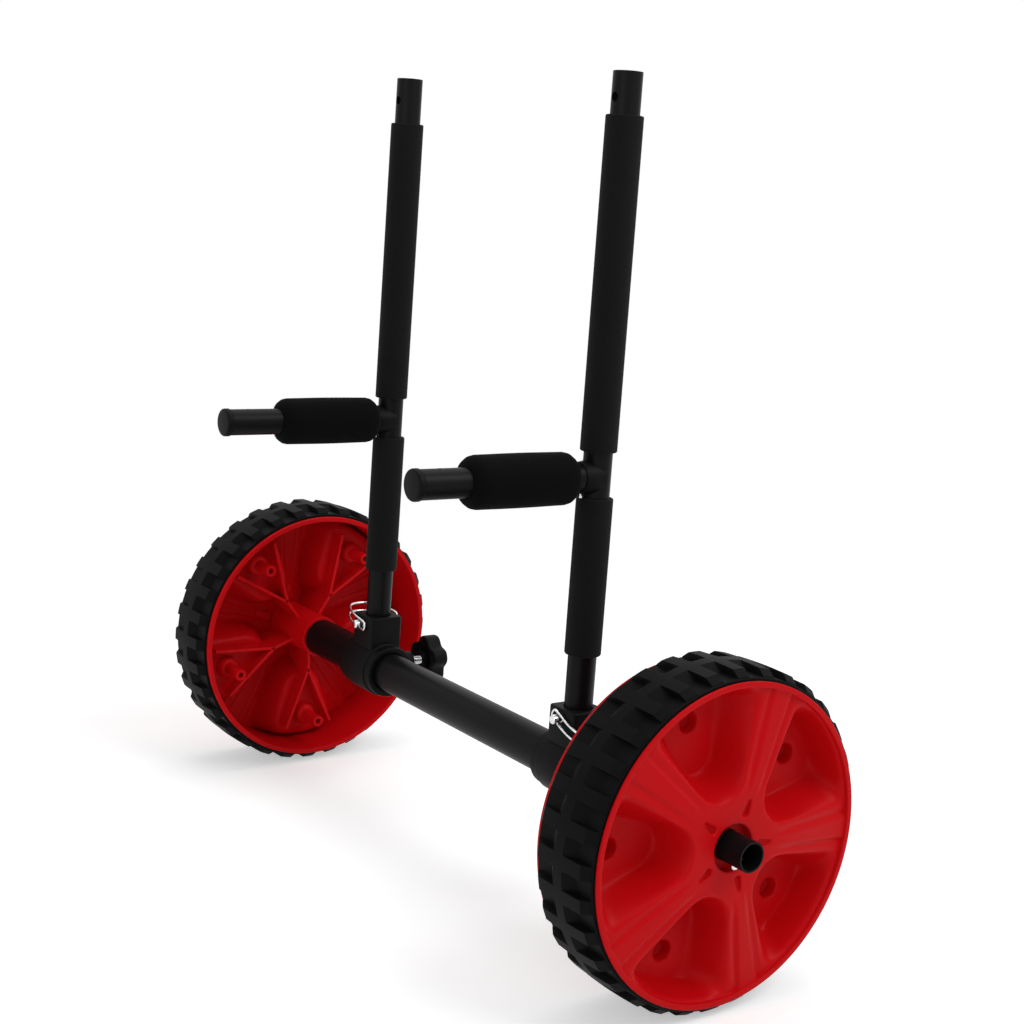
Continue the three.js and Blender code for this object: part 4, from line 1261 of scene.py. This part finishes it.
def make_stud(side, sizes, finishes, place):
    """The stud has its thread as a ring for each turn, and a plain point on the axle tube."""
    low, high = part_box(f"{side}_clamp_stud")
    start = low.y - place.y
    end = high.y - place.y
    core = sizes.stud - sizes.thread
    outline = [(0, start), (core - 0.0005, start), (core, start + 0.0006)]
    turns = int((end - start - 0.003) / sizes.pitch)
    for count in range(turns):
        crest = start + 0.0015 + sizes.pitch * count
        outline += [(core, crest - sizes.pitch * 0.45), (sizes.stud, crest - sizes.pitch * 0.08)]
        outline += [(sizes.stud, crest + sizes.pitch * 0.08), (core, crest + sizes.pitch * 0.45)]
    outline += [(core, end), (0, end)]
    made = as_object(turned(outline, "Y", place, SMALL_STEPS), f"{side}_clamp_stud_dressed")
    dressed(made, f"{side}_clamp_stud", zinc_plate(finishes))


def make_knob(side, sizes, finishes, place):
    low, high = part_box(f"{side}_knob")
    near = low.y + 0.003
    middle = Vector((place.x, near, place.z))
    bm = bmesh.new()
    steps = 24 * sizes.lobes
    ring = []
    for step in range(steps):
        swing = math.tau * step / steps
        wave = (1 - math.cos(sizes.lobes * swing)) / 2
        radius = sizes.knob - sizes.lobe_depth * wave ** 1.6
        ring.append(bm.verts.new(middle + radius * Vector((math.sin(swing), 0, math.cos(swing)))))
    face = bm.faces.new(ring)
    grown = bmesh.ops.extrude_face_region(bm, geom=[face])
    top = [item for item in grown["geom"] if isinstance(item, bmesh.types.BMVert)]
    bmesh.ops.translate(bm, verts=top, vec=(0, high.y - near, 0))
    bmesh.ops.recalc_face_normals(bm, faces=bm.faces)
    rims = [edge for edge in bm.edges if abs(edge.verts[0].co.y - edge.verts[1].co.y) < WELD]
    bevelled(bm, rims, sizes.knob_edge, 4)
    made = as_object(bm, f"{side}_knob_dressed")
    hollow = filleted([
        (sizes.knob_hub, -0.002), (sizes.knob - sizes.lobe_depth - 0.003, -0.002),
        (sizes.knob - sizes.lobe_depth - 0.0045, sizes.knob_hollow, 0.0012),
        (sizes.knob_hub + 0.0006, sizes.knob_hollow, 0.0012),
    ])
    combined(made, [turned(hollow, "Y", middle, ROUND_STEPS)], "DIFFERENCE")
    hub_radius = sizes.knob_hub - CLOSE_FIT
    hub_start = -0.003
    hub_end = 0.008
    hub = filleted([
        (STUD_HOLE, hub_start, 0.0003), (hub_radius, hub_start, 0.0008),
        (hub_radius, hub_end), (STUD_HOLE, hub_end),
    ])
    bore = turned(rod(STUD_HOLE, -0.01, 0.0093), "Y", middle, SMALL_STEPS)
    combined(made, [bore], "DIFFERENCE")
    bm = bmesh.new()
    bm.from_mesh(made.data)
    joined(bm, turned(hub, "Y", middle, ROUND_STEPS))
    bm.to_mesh(made.data)
    bm.free()
    dressed(made, f"{side}_knob", black_moulding(finishes), 40)


# Lock pins


def bail_turn(side, sizes):
    """Turn of a pin and its bail about Y, from the bail lying level and outwards."""
    tilt = sizes.left_tilt if side == "left" else sizes.right_tilt
    return -tilt * OUTWARD[side]


def pin_matrix(side, sizes):
    """The pin's own frame: its shaft along Y at the origin, and its bail towards +X."""
    place = node_middle(f"{side}_lock_pin")
    origin = Matrix.Translation((post_place(side).x, AXLE.y, place.z))
    mirror = Matrix.Diagonal((OUTWARD[side], 1, 1, 1))
    return origin @ Matrix.Rotation(bail_turn(side, sizes), 4, "Y") @ mirror


def make_pin(side, sizes, finishes):
    low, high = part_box(f"{side}_lock_pin")
    face = 0.0163
    neck_end = -face - 0.004
    tip = low.y - AXLE.y
    head = high.y - AXLE.y
    corners = [
        (0, tip), (sizes.tip, tip, 0.0016), (sizes.tip, neck_end, 0.0006), (sizes.neck, neck_end, 0.0003),
        (sizes.neck, -face, 0.0003), (sizes.shaft, -face, 0.0003), (sizes.shaft, face),
        (sizes.head, face, 0.0004), (sizes.head, head, 0.0026), (0, head),
    ]
    place = Vector((post_place(side).x, AXLE.y, node_middle(f"{side}_lock_pin").z))
    made = as_object(turned(filleted(corners), "Y", place, SMALL_STEPS), f"{side}_lock_pin_dressed")
    head_middle = (face + head) / 2
    hole_middle = place + Vector((0, head_middle, 0))
    hole = turned(rod(sizes.wire + 0.0004, -0.01, 0.01), "Z", hole_middle, SMALL_STEPS)
    swing = Matrix.Rotation(bail_turn(side, sizes), 3, "Y")
    bmesh.ops.rotate(hole, verts=hole.verts, cent=place, matrix=swing)
    combined(made, [hole], "DIFFERENCE")
    dressed(made, f"{side}_lock_pin", zinc_plate(finishes), 40)
    make_bail(side, sizes, finishes, face, head_middle)


def bail_route(sizes, face, head_middle):
    """The wire from one mouth of the head's cross-hole, out round the neck, and back to the other mouth."""
    neck = -face - 0.002
    outside = sizes.head + sizes.wire + 0.0003
    middle = (head_middle + neck) / 2
    half = (head_middle - neck) / 2
    bend = 2 * sizes.wire
    reach = sizes.reach
    strand = [
        (0, head_middle, outside), (bend, head_middle, outside + bend / 2),
        (reach / 3, head_middle, outside),
        (reach * 2 / 3, head_middle - half / 6, sizes.spread + sizes.wire),
        (reach - bend, middle + half / 2, sizes.spread), (reach, middle, sizes.spread),
        (reach - bend, middle - half / 2, sizes.spread), (reach * 2 / 3, neck + half / 6, sizes.spread),
        (reach / 3, neck, sizes.spread), (0, neck, sizes.spread), (-0.006, neck, sizes.spread),
    ]
    closed_end = [(-0.008, neck, sizes.spread / 2), (-0.008, neck, -sizes.spread / 2)]
    stub = sizes.head / 2
    mouth = (stub + outside) / 2
    back = [(x, y, -z) for x, y, z in reversed(strand)]
    start = [(0, head_middle, stub), (0, head_middle, mouth)]
    end = [(0, head_middle, -mouth), (0, head_middle, -stub)]
    return start + strand + closed_end + back + end


def make_bail(side, sizes, finishes, face, head_middle):
    matrix = pin_matrix(side, sizes)
    route = [matrix @ Vector(point) for point in bail_route(sizes, face, head_middle)]
    curve = bpy.data.curves.new(f"{side}_pin_bail_dressed", "CURVE")
    curve.dimensions = "3D"
    curve.resolution_u = 6
    curve.bevel_depth = sizes.wire
    curve.bevel_resolution = 4
    curve.use_fill_caps = True
    spline = curve.splines.new("NURBS")
    spline.points.add(len(route) - 1)
    for point, place in zip(spline.points, route):
        point.co = (*place, 1)
    spline.order_u = 3
    spline.use_endpoint_u = True
    wire = bpy.data.objects.new("bail_wire", curve)
    bpy.context.scene.collection.objects.link(wire)
    bpy.context.view_layer.update()
    mesh = bpy.data.meshes.new_from_object(wire.evaluated_get(bpy.context.evaluated_depsgraph_get()))
    bpy.data.objects.remove(wire)
    bm = bmesh.new()
    bm.from_mesh(mesh)
    bpy.data.meshes.remove(mesh)
    bmesh.ops.remove_doubles(bm, verts=bm.verts, dist=WELD)
    bmesh.ops.recalc_face_normals(bm, faces=bm.faces)
    made = as_object(bm, f"{side}_pin_bail_dressed")
    dressed(made, f"{side}_pin_bail", zinc_plate(finishes), 60)


# Posts


def make_post(side, sizes, finishes):
    place = post_place(side)
    node = f"{side}_post_tube"
    low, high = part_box(node)
    radius = (high.x - low.x) / 2
    outline = pipe(radius, radius - sizes.wall, low.z - place.z, high.z - place.z, sizes.edge)
    made = as_object(turned(outline, "Z", place), f"{node}_dressed")
    holes = []
    for height in (low.z + sizes.pin_hole_from_end, high.z - sizes.pin_hole_from_end):
        middle = Vector((place.x, place.y, height))
        holes.append(turned(rod(sizes.pin_hole, -2 * radius, 2 * radius), "Y", middle, SMALL_STEPS))
    combined(made, holes, "DIFFERENCE")
    dressed(made, node, black_tube(finishes, "Z"), 40)
    for part in ("lower_sleeve", "upper_sleeve"):
        make_sleeve(f"{side}_{part}", sizes, finishes, place, radius)


def make_sleeve(node, sizes, finishes, place, post_radius):
    low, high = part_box(node)
    outer = (high.x - low.x) / 2
    inner = post_radius + CLOSE_FIT
    bottom = low.z - place.z
    top = high.z - place.z
    edge = sizes.sleeve_edge
    outline = filleted([
        (inner, bottom, edge / 3), (outer, bottom, edge), (outer, top, edge), (inner, top, edge / 3)
    ])
    made = as_object(turned(outline, "Z", place, 96), f"{node}_dressed")
    dressed(made, node, sleeve_foam(finishes))


# Arms


def arm_place(side):
    return Vector((post_place(side).x, AXLE.y, node_middle(f"{side}_arm_pad").z))


def make_arm(side, sizes, tubes, finishes):
    place = arm_place(side)
    make_saddle(side, sizes, finishes, place)
    make_arm_tube(side, tubes, finishes, place)
    make_pad(side, sizes, finishes, place)
    make_cap(side, sizes, tubes, finishes, place)
    carried(f"{side}_arm_screw", zinc_plate(finishes))


def screw_hole(side, place):
    """The hole for the arm's screw, from below."""
    screw = node_middle(f"{side}_arm_screw")
    start = Vector((place.x, screw.y, place.z))
    return turned(rod(SCREW_HOLE, -CUT_REACH, 0), "Z", start, SMALL_STEPS)


def make_saddle(side, sizes, finishes, place):
    node = f"{side}_arm_saddle"
    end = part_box(node)[0].y - place.y
    inner = node_size(f"{side}_arm_tube").x / 2 + CLOSE_FIT
    outline = filleted([
        (inner, end, 0.0002), (sizes.saddle_end, end, 0.0004), (sizes.saddle, 0.6 * end),
        (sizes.saddle, 0), (inner, 0),
    ])
    made = as_object(turned(outline, "Y", place), f"{node}_dressed")
    post = node_size(f"{side}_post_tube").x / 2 + LOOSE_FIT
    cuts = [turned(rod(post, -CUT_REACH, CUT_REACH), "Z", place), screw_hole(side, place)]
    combined(made, cuts, "DIFFERENCE")
    dressed(made, node, black_moulding(finishes), 40)


def make_arm_tube(side, sizes, finishes, place):
    node = f"{side}_arm_tube"
    low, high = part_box(node)
    radius = (high.x - low.x) / 2
    outline = pipe(radius, radius - sizes.wall, low.y - place.y, 0, sizes.edge)
    made = as_object(turned(outline, "Y", place), f"{node}_dressed")
    post_gap = 0.0006
    post = node_size(f"{side}_post_tube").x / 2 + post_gap
    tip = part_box(f"{side}_arm_cap")[0].y
    top_hole = Vector((place.x, tip + sizes.arm_hole_from_tip, place.z))
    cuts = [
        turned(rod(post, -CUT_REACH, CUT_REACH), "Z", place),
        screw_hole(side, place),
        turned(rod(sizes.arm_hole, 0, CUT_REACH), "Z", top_hole, SMALL_STEPS),
    ]
    combined(made, cuts, "DIFFERENCE")
    dressed(made, node, black_tube(finishes, "Y"), 40)


def make_pad(side, sizes, finishes, place):
    """The thick foam pad: round ends, and a slight crown between them."""
    node = f"{side}_arm_pad"
    low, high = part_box(node)
    near = high.y - place.y
    far = low.y - place.y
    radius = (high.z - low.z) / 2 - sizes.pad_crown
    inner = node_size(f"{side}_arm_tube").x / 2 + CLOSE_FIT
    bulge = sizes.pad_round
    corners = [(inner, far, 0.0006), (radius, far, bulge)]
    steps = 8
    for step in range(1, steps):
        share = step / steps
        height = far + bulge + (near - far - 2 * bulge) * share
        corners.append((radius + sizes.pad_crown * math.sin(math.pi * share), height))
    corners += [(radius, near, bulge), (inner, near, 0.0006)]
    made = as_object(turned(filleted(corners), "Y", place, 96), f"{node}_dressed")
    dressed(made, node, pad_foam(finishes))


def make_cap(side, sizes, tubes, finishes, place):
    node = f"{side}_arm_cap"
    low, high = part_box(node)
    radius = (high.x - low.x) / 2
    tip = low.y - place.y
    inner = node_size(f"{side}_arm_tube").x / 2 - tubes.wall - PLUG_FIT
    shoulder = tip + sizes.cap_length
    outline = filleted([
        (0, tip), (radius, tip, sizes.cap_round), (radius, shoulder, 0.0003), (inner, shoulder),
        (inner, high.y - place.y), (0, high.y - place.y),
    ])
    made = as_object(turned(outline, "Y", place), f"{node}_dressed")
    dressed(made, node, black_moulding(finishes))


# Stage


def seen_ray(tree):
    """A socket that is 1 for what the camera sees, straight or in a reflection, and 0 for light."""
    path = add(tree, "ShaderNodeLightPath")
    mirrored = add(tree, "ShaderNodeMath", "straight or mirrored", operation="MAXIMUM")
    every = add(tree, "ShaderNodeMath", "or through glass", operation="MAXIMUM")
    tree.links.new(path.outputs["Is Camera Ray"], mirrored.inputs[0])
    tree.links.new(path.outputs["Is Glossy Ray"], mirrored.inputs[1])
    tree.links.new(mirrored.outputs["Value"], every.inputs[0])
    tree.links.new(path.outputs["Is Transmission Ray"], every.inputs[1])
    return every.outputs["Value"]


def make_floor(sizes):
    bm = bmesh.new()
    bmesh.ops.create_grid(bm, x_segments=2, y_segments=2, size=sizes.floor_size / 2)
    bmesh.ops.translate(bm, verts=bm.verts, vec=(0, 0, cad_low.z - FLOOR_GAP))
    floor = as_object(bm, "floor")
    material = bpy.data.materials.new("pale floor")
    material.use_nodes = True
    tree = material.node_tree
    shader = tree.nodes["Principled BSDF"]
    shader.inputs["Base Color"].default_value = (*sizes.floor, 1)
    shader.inputs["Roughness"].default_value = 0.9
    glow = add(tree, "ShaderNodeEmission", "brighter to the eye", Strength=0.42)
    both = add(tree, "ShaderNodeAddShader")
    white = add(tree, "ShaderNodeEmission", "white far away", Strength=1.0)
    places = add(tree, "ShaderNodeTexCoord")
    distance = add(tree, "ShaderNodeVectorMath", "distance from the cart", operation="LENGTH")
    far = add(tree, "ShaderNodeMapRange", "far away")
    far.inputs["From Min"].default_value = sizes.floor_near
    far.inputs["From Max"].default_value = sizes.floor_far
    seen = add(tree, "ShaderNodeMixShader", "floor and distance")
    choice = add(tree, "ShaderNodeMixShader", "what the eye sees")
    out = tree.nodes["Material Output"]
    tree.links.new(shader.outputs["BSDF"], both.inputs[0])
    tree.links.new(glow.outputs["Emission"], both.inputs[1])
    tree.links.new(places.outputs["Object"], distance.inputs[0])
    tree.links.new(distance.outputs["Value"], far.inputs["Value"])
    tree.links.new(far.outputs["Result"], seen.inputs["Fac"])
    tree.links.new(both.outputs["Shader"], seen.inputs[1])
    tree.links.new(white.outputs["Emission"], seen.inputs[2])
    tree.links.new(seen_ray(tree), choice.inputs["Fac"])
    tree.links.new(shader.outputs["BSDF"], choice.inputs[1])
    tree.links.new(seen.outputs["Shader"], choice.inputs[2])
    tree.links.new(choice.outputs["Shader"], out.inputs["Surface"])
    floor.data.materials.append(material)


def make_world():
    """White to the camera and in reflections, and a plain soft light on the cart."""
    world = bpy.data.worlds.new("studio")
    bpy.context.scene.world = world
    world.use_nodes = True
    tree = world.node_tree
    light = tree.nodes["Background"]
    light.inputs["Color"].default_value = (1, 1, 1, 1)
    light.inputs["Strength"].default_value = 0.42
    white = add(tree, "ShaderNodeBackground", Color=(1, 1, 1, 1), Strength=1.0)
    choice = add(tree, "ShaderNodeMixShader")
    tree.links.new(seen_ray(tree), choice.inputs["Fac"])
    tree.links.new(light.outputs["Background"], choice.inputs[1])
    tree.links.new(white.outputs["Background"], choice.inputs[2])
    tree.links.new(choice.outputs["Shader"], tree.nodes["World Output"].inputs["Surface"])


def soft_lamp(name, place, target, size, power):
    lamp = bpy.data.lights.new(name, "AREA")
    lamp.shape = "RECTANGLE"
    lamp.size, lamp.size_y = size
    lamp.energy = power
    made = bpy.data.objects.new(name, lamp)
    bpy.context.scene.collection.objects.link(made)
    made.location = place
    made.rotation_mode = "QUATERNION"
    made.rotation_quaternion = (Vector(target) - Vector(place)).to_track_quat("-Z", "Y")


def make_lamps():
    middle = (cad_low + cad_high) / 2
    soft_lamp("key", (1.6, 0.9, 2.2), middle, (1.6, 1.2), 26)
    soft_lamp("fill", (0.9, -2.2, 1.0), middle, (1.6, 1.6), 9)
    soft_lamp("top", (-0.4, 0.2, 2.6), middle, (2.0, 2.0), 16)


def make_camera(sizes):
    data = bpy.data.cameras.new("camera")
    data.lens = sizes.lens
    data.sensor_width = 36
    data.sensor_fit = "AUTO"
    data.shift_x = sizes.shift_x
    data.shift_y = sizes.shift_y
    camera = bpy.data.objects.new("camera", data)
    bpy.context.scene.collection.objects.link(camera)
    across = math.cos(sizes.elevation)
    back = Vector((
        math.sin(sizes.azimuth) * across, -math.cos(sizes.azimuth) * across, math.sin(sizes.elevation)
    ))
    camera.location = sizes.place
    camera.rotation_mode = "QUATERNION"
    camera.rotation_quaternion = (-back).to_track_quat("-Z", "Y") @ Quaternion((0, 0, 1), sizes.roll)
    bpy.context.scene.camera = camera


# Operators


class CART_OT_stage(bpy.types.Operator):
    """Makes the floor, the light and the camera"""

    bl_idname = "kayak_cart.stage"
    bl_label = "Stage"

    def execute(self, context):
        settings = context.scene.cart_stage
        make_camera(settings)
        make_floor(settings)
        make_world()
        make_lamps()
        context.scene.view_settings.view_transform = "Standard"
        return {"FINISHED"}


class CART_OT_hubs(bpy.types.Operator):
    """Makes the two moulded hubs"""

    bl_idname = "kayak_cart.hubs"
    bl_label = "Hubs"

    def execute(self, context):
        material = red_plastic(context.scene.cart_finish)
        for side in SIDES:
            make_hub(side, context.scene.cart_hub, material)
        return {"FINISHED"}


class CART_OT_tyres(bpy.types.Operator):
    """Makes the two lugged tyres"""

    bl_idname = "kayak_cart.tyres"
    bl_label = "Tyres"

    def execute(self, context):
        material = tyre_rubber(context.scene.cart_finish)
        for side in SIDES:
            make_tyre(side, context.scene.cart_tyre, material)
        return {"FINISHED"}


class CART_OT_axle(bpy.types.Operator):
    """Makes the axle's tubes, bushes and snap buttons"""

    bl_idname = "kayak_cart.axle"
    bl_label = "Axle"

    def execute(self, context):
        make_axle(context.scene.cart_tube, context.scene.cart_finish)
        return {"FINISHED"}


class CART_OT_sockets(bpy.types.Operator):
    """Makes the sockets that hold the posts on the axle"""

    bl_idname = "kayak_cart.sockets"
    bl_label = "Sockets"

    def execute(self, context):
        for side in SIDES:
            make_socket(side, context.scene.cart_socket, context.scene.cart_finish)
        return {"FINISHED"}


class CART_OT_clamps(bpy.types.Operator):
    """Makes the clamp studs and their knobs"""

    bl_idname = "kayak_cart.clamps"
    bl_label = "Clamps"

    def execute(self, context):
        for side in SIDES:
            make_clamp(side, context.scene.cart_clamp, context.scene.cart_finish)
        return {"FINISHED"}


class CART_OT_pins(bpy.types.Operator):
    """Makes the lock pins and their wire bails"""

    bl_idname = "kayak_cart.pins"
    bl_label = "Lock pins"

    def execute(self, context):
        for side in SIDES:
            make_pin(side, context.scene.cart_pin, context.scene.cart_finish)
        return {"FINISHED"}


class CART_OT_posts(bpy.types.Operator):
    """Makes the posts and their foam sleeves"""

    bl_idname = "kayak_cart.posts"
    bl_label = "Posts"

    def execute(self, context):
        for side in SIDES:
            make_post(side, context.scene.cart_tube, context.scene.cart_finish)
        return {"FINISHED"}


class CART_OT_arms(bpy.types.Operator):
    """Makes the arms with their saddles, pads and caps"""

    bl_idname = "kayak_cart.arms"
    bl_label = "Arms"

    def execute(self, context):
        scene = context.scene
        for side in SIDES:
            make_arm(side, scene.cart_arm, scene.cart_tube, scene.cart_finish)
        return {"FINISHED"}


OPERATORS = (
    CART_OT_stage, CART_OT_hubs, CART_OT_tyres, CART_OT_axle, CART_OT_sockets,
    CART_OT_clamps, CART_OT_pins, CART_OT_posts, CART_OT_arms,
)


class CART_PT_panel(bpy.types.Panel):
    """Lists the cart's pieces"""

    bl_idname = "CART_PT_panel"
    bl_label = "Kayak Cart"
    bl_space_type = "VIEW_3D"
    bl_region_type = "UI"
    bl_category = "Kayak Cart"

    def draw(self, context):
        for operator in OPERATORS:
            self.layout.operator(operator.bl_idname)


SETTINGS = {
    "cart_hub": HubSettings,
    "cart_tyre": TyreSettings,
    "cart_tube": TubeSettings,
    "cart_socket": SocketSettings,
    "cart_clamp": ClampSettings,
    "cart_pin": PinSettings,
    "cart_arm": ArmSettings,
    "cart_finish": FinishSettings,
    "cart_stage": StageSettings,
}


def register():
    for name, kind in SETTINGS.items():
        bpy.utils.register_class(kind)
        setattr(bpy.types.Scene, name, PointerProperty(type=kind))
    for kind in (*OPERATORS, CART_PT_panel):
        bpy.utils.register_class(kind)


def unregister():
    for kind in reversed((*OPERATORS, CART_PT_panel)):
        bpy.utils.unregister_class(kind)
    for name, kind in SETTINGS.items():
        delattr(bpy.types.Scene, name)
        bpy.utils.unregister_class(kind)


def main():
    register()
    for step in ("stage", "hubs", "tyres", "axle", "sockets", "clamps", "pins", "posts", "arms"):
        getattr(bpy.ops.kayak_cart, step)()


if __name__ == "__main__":
    main()
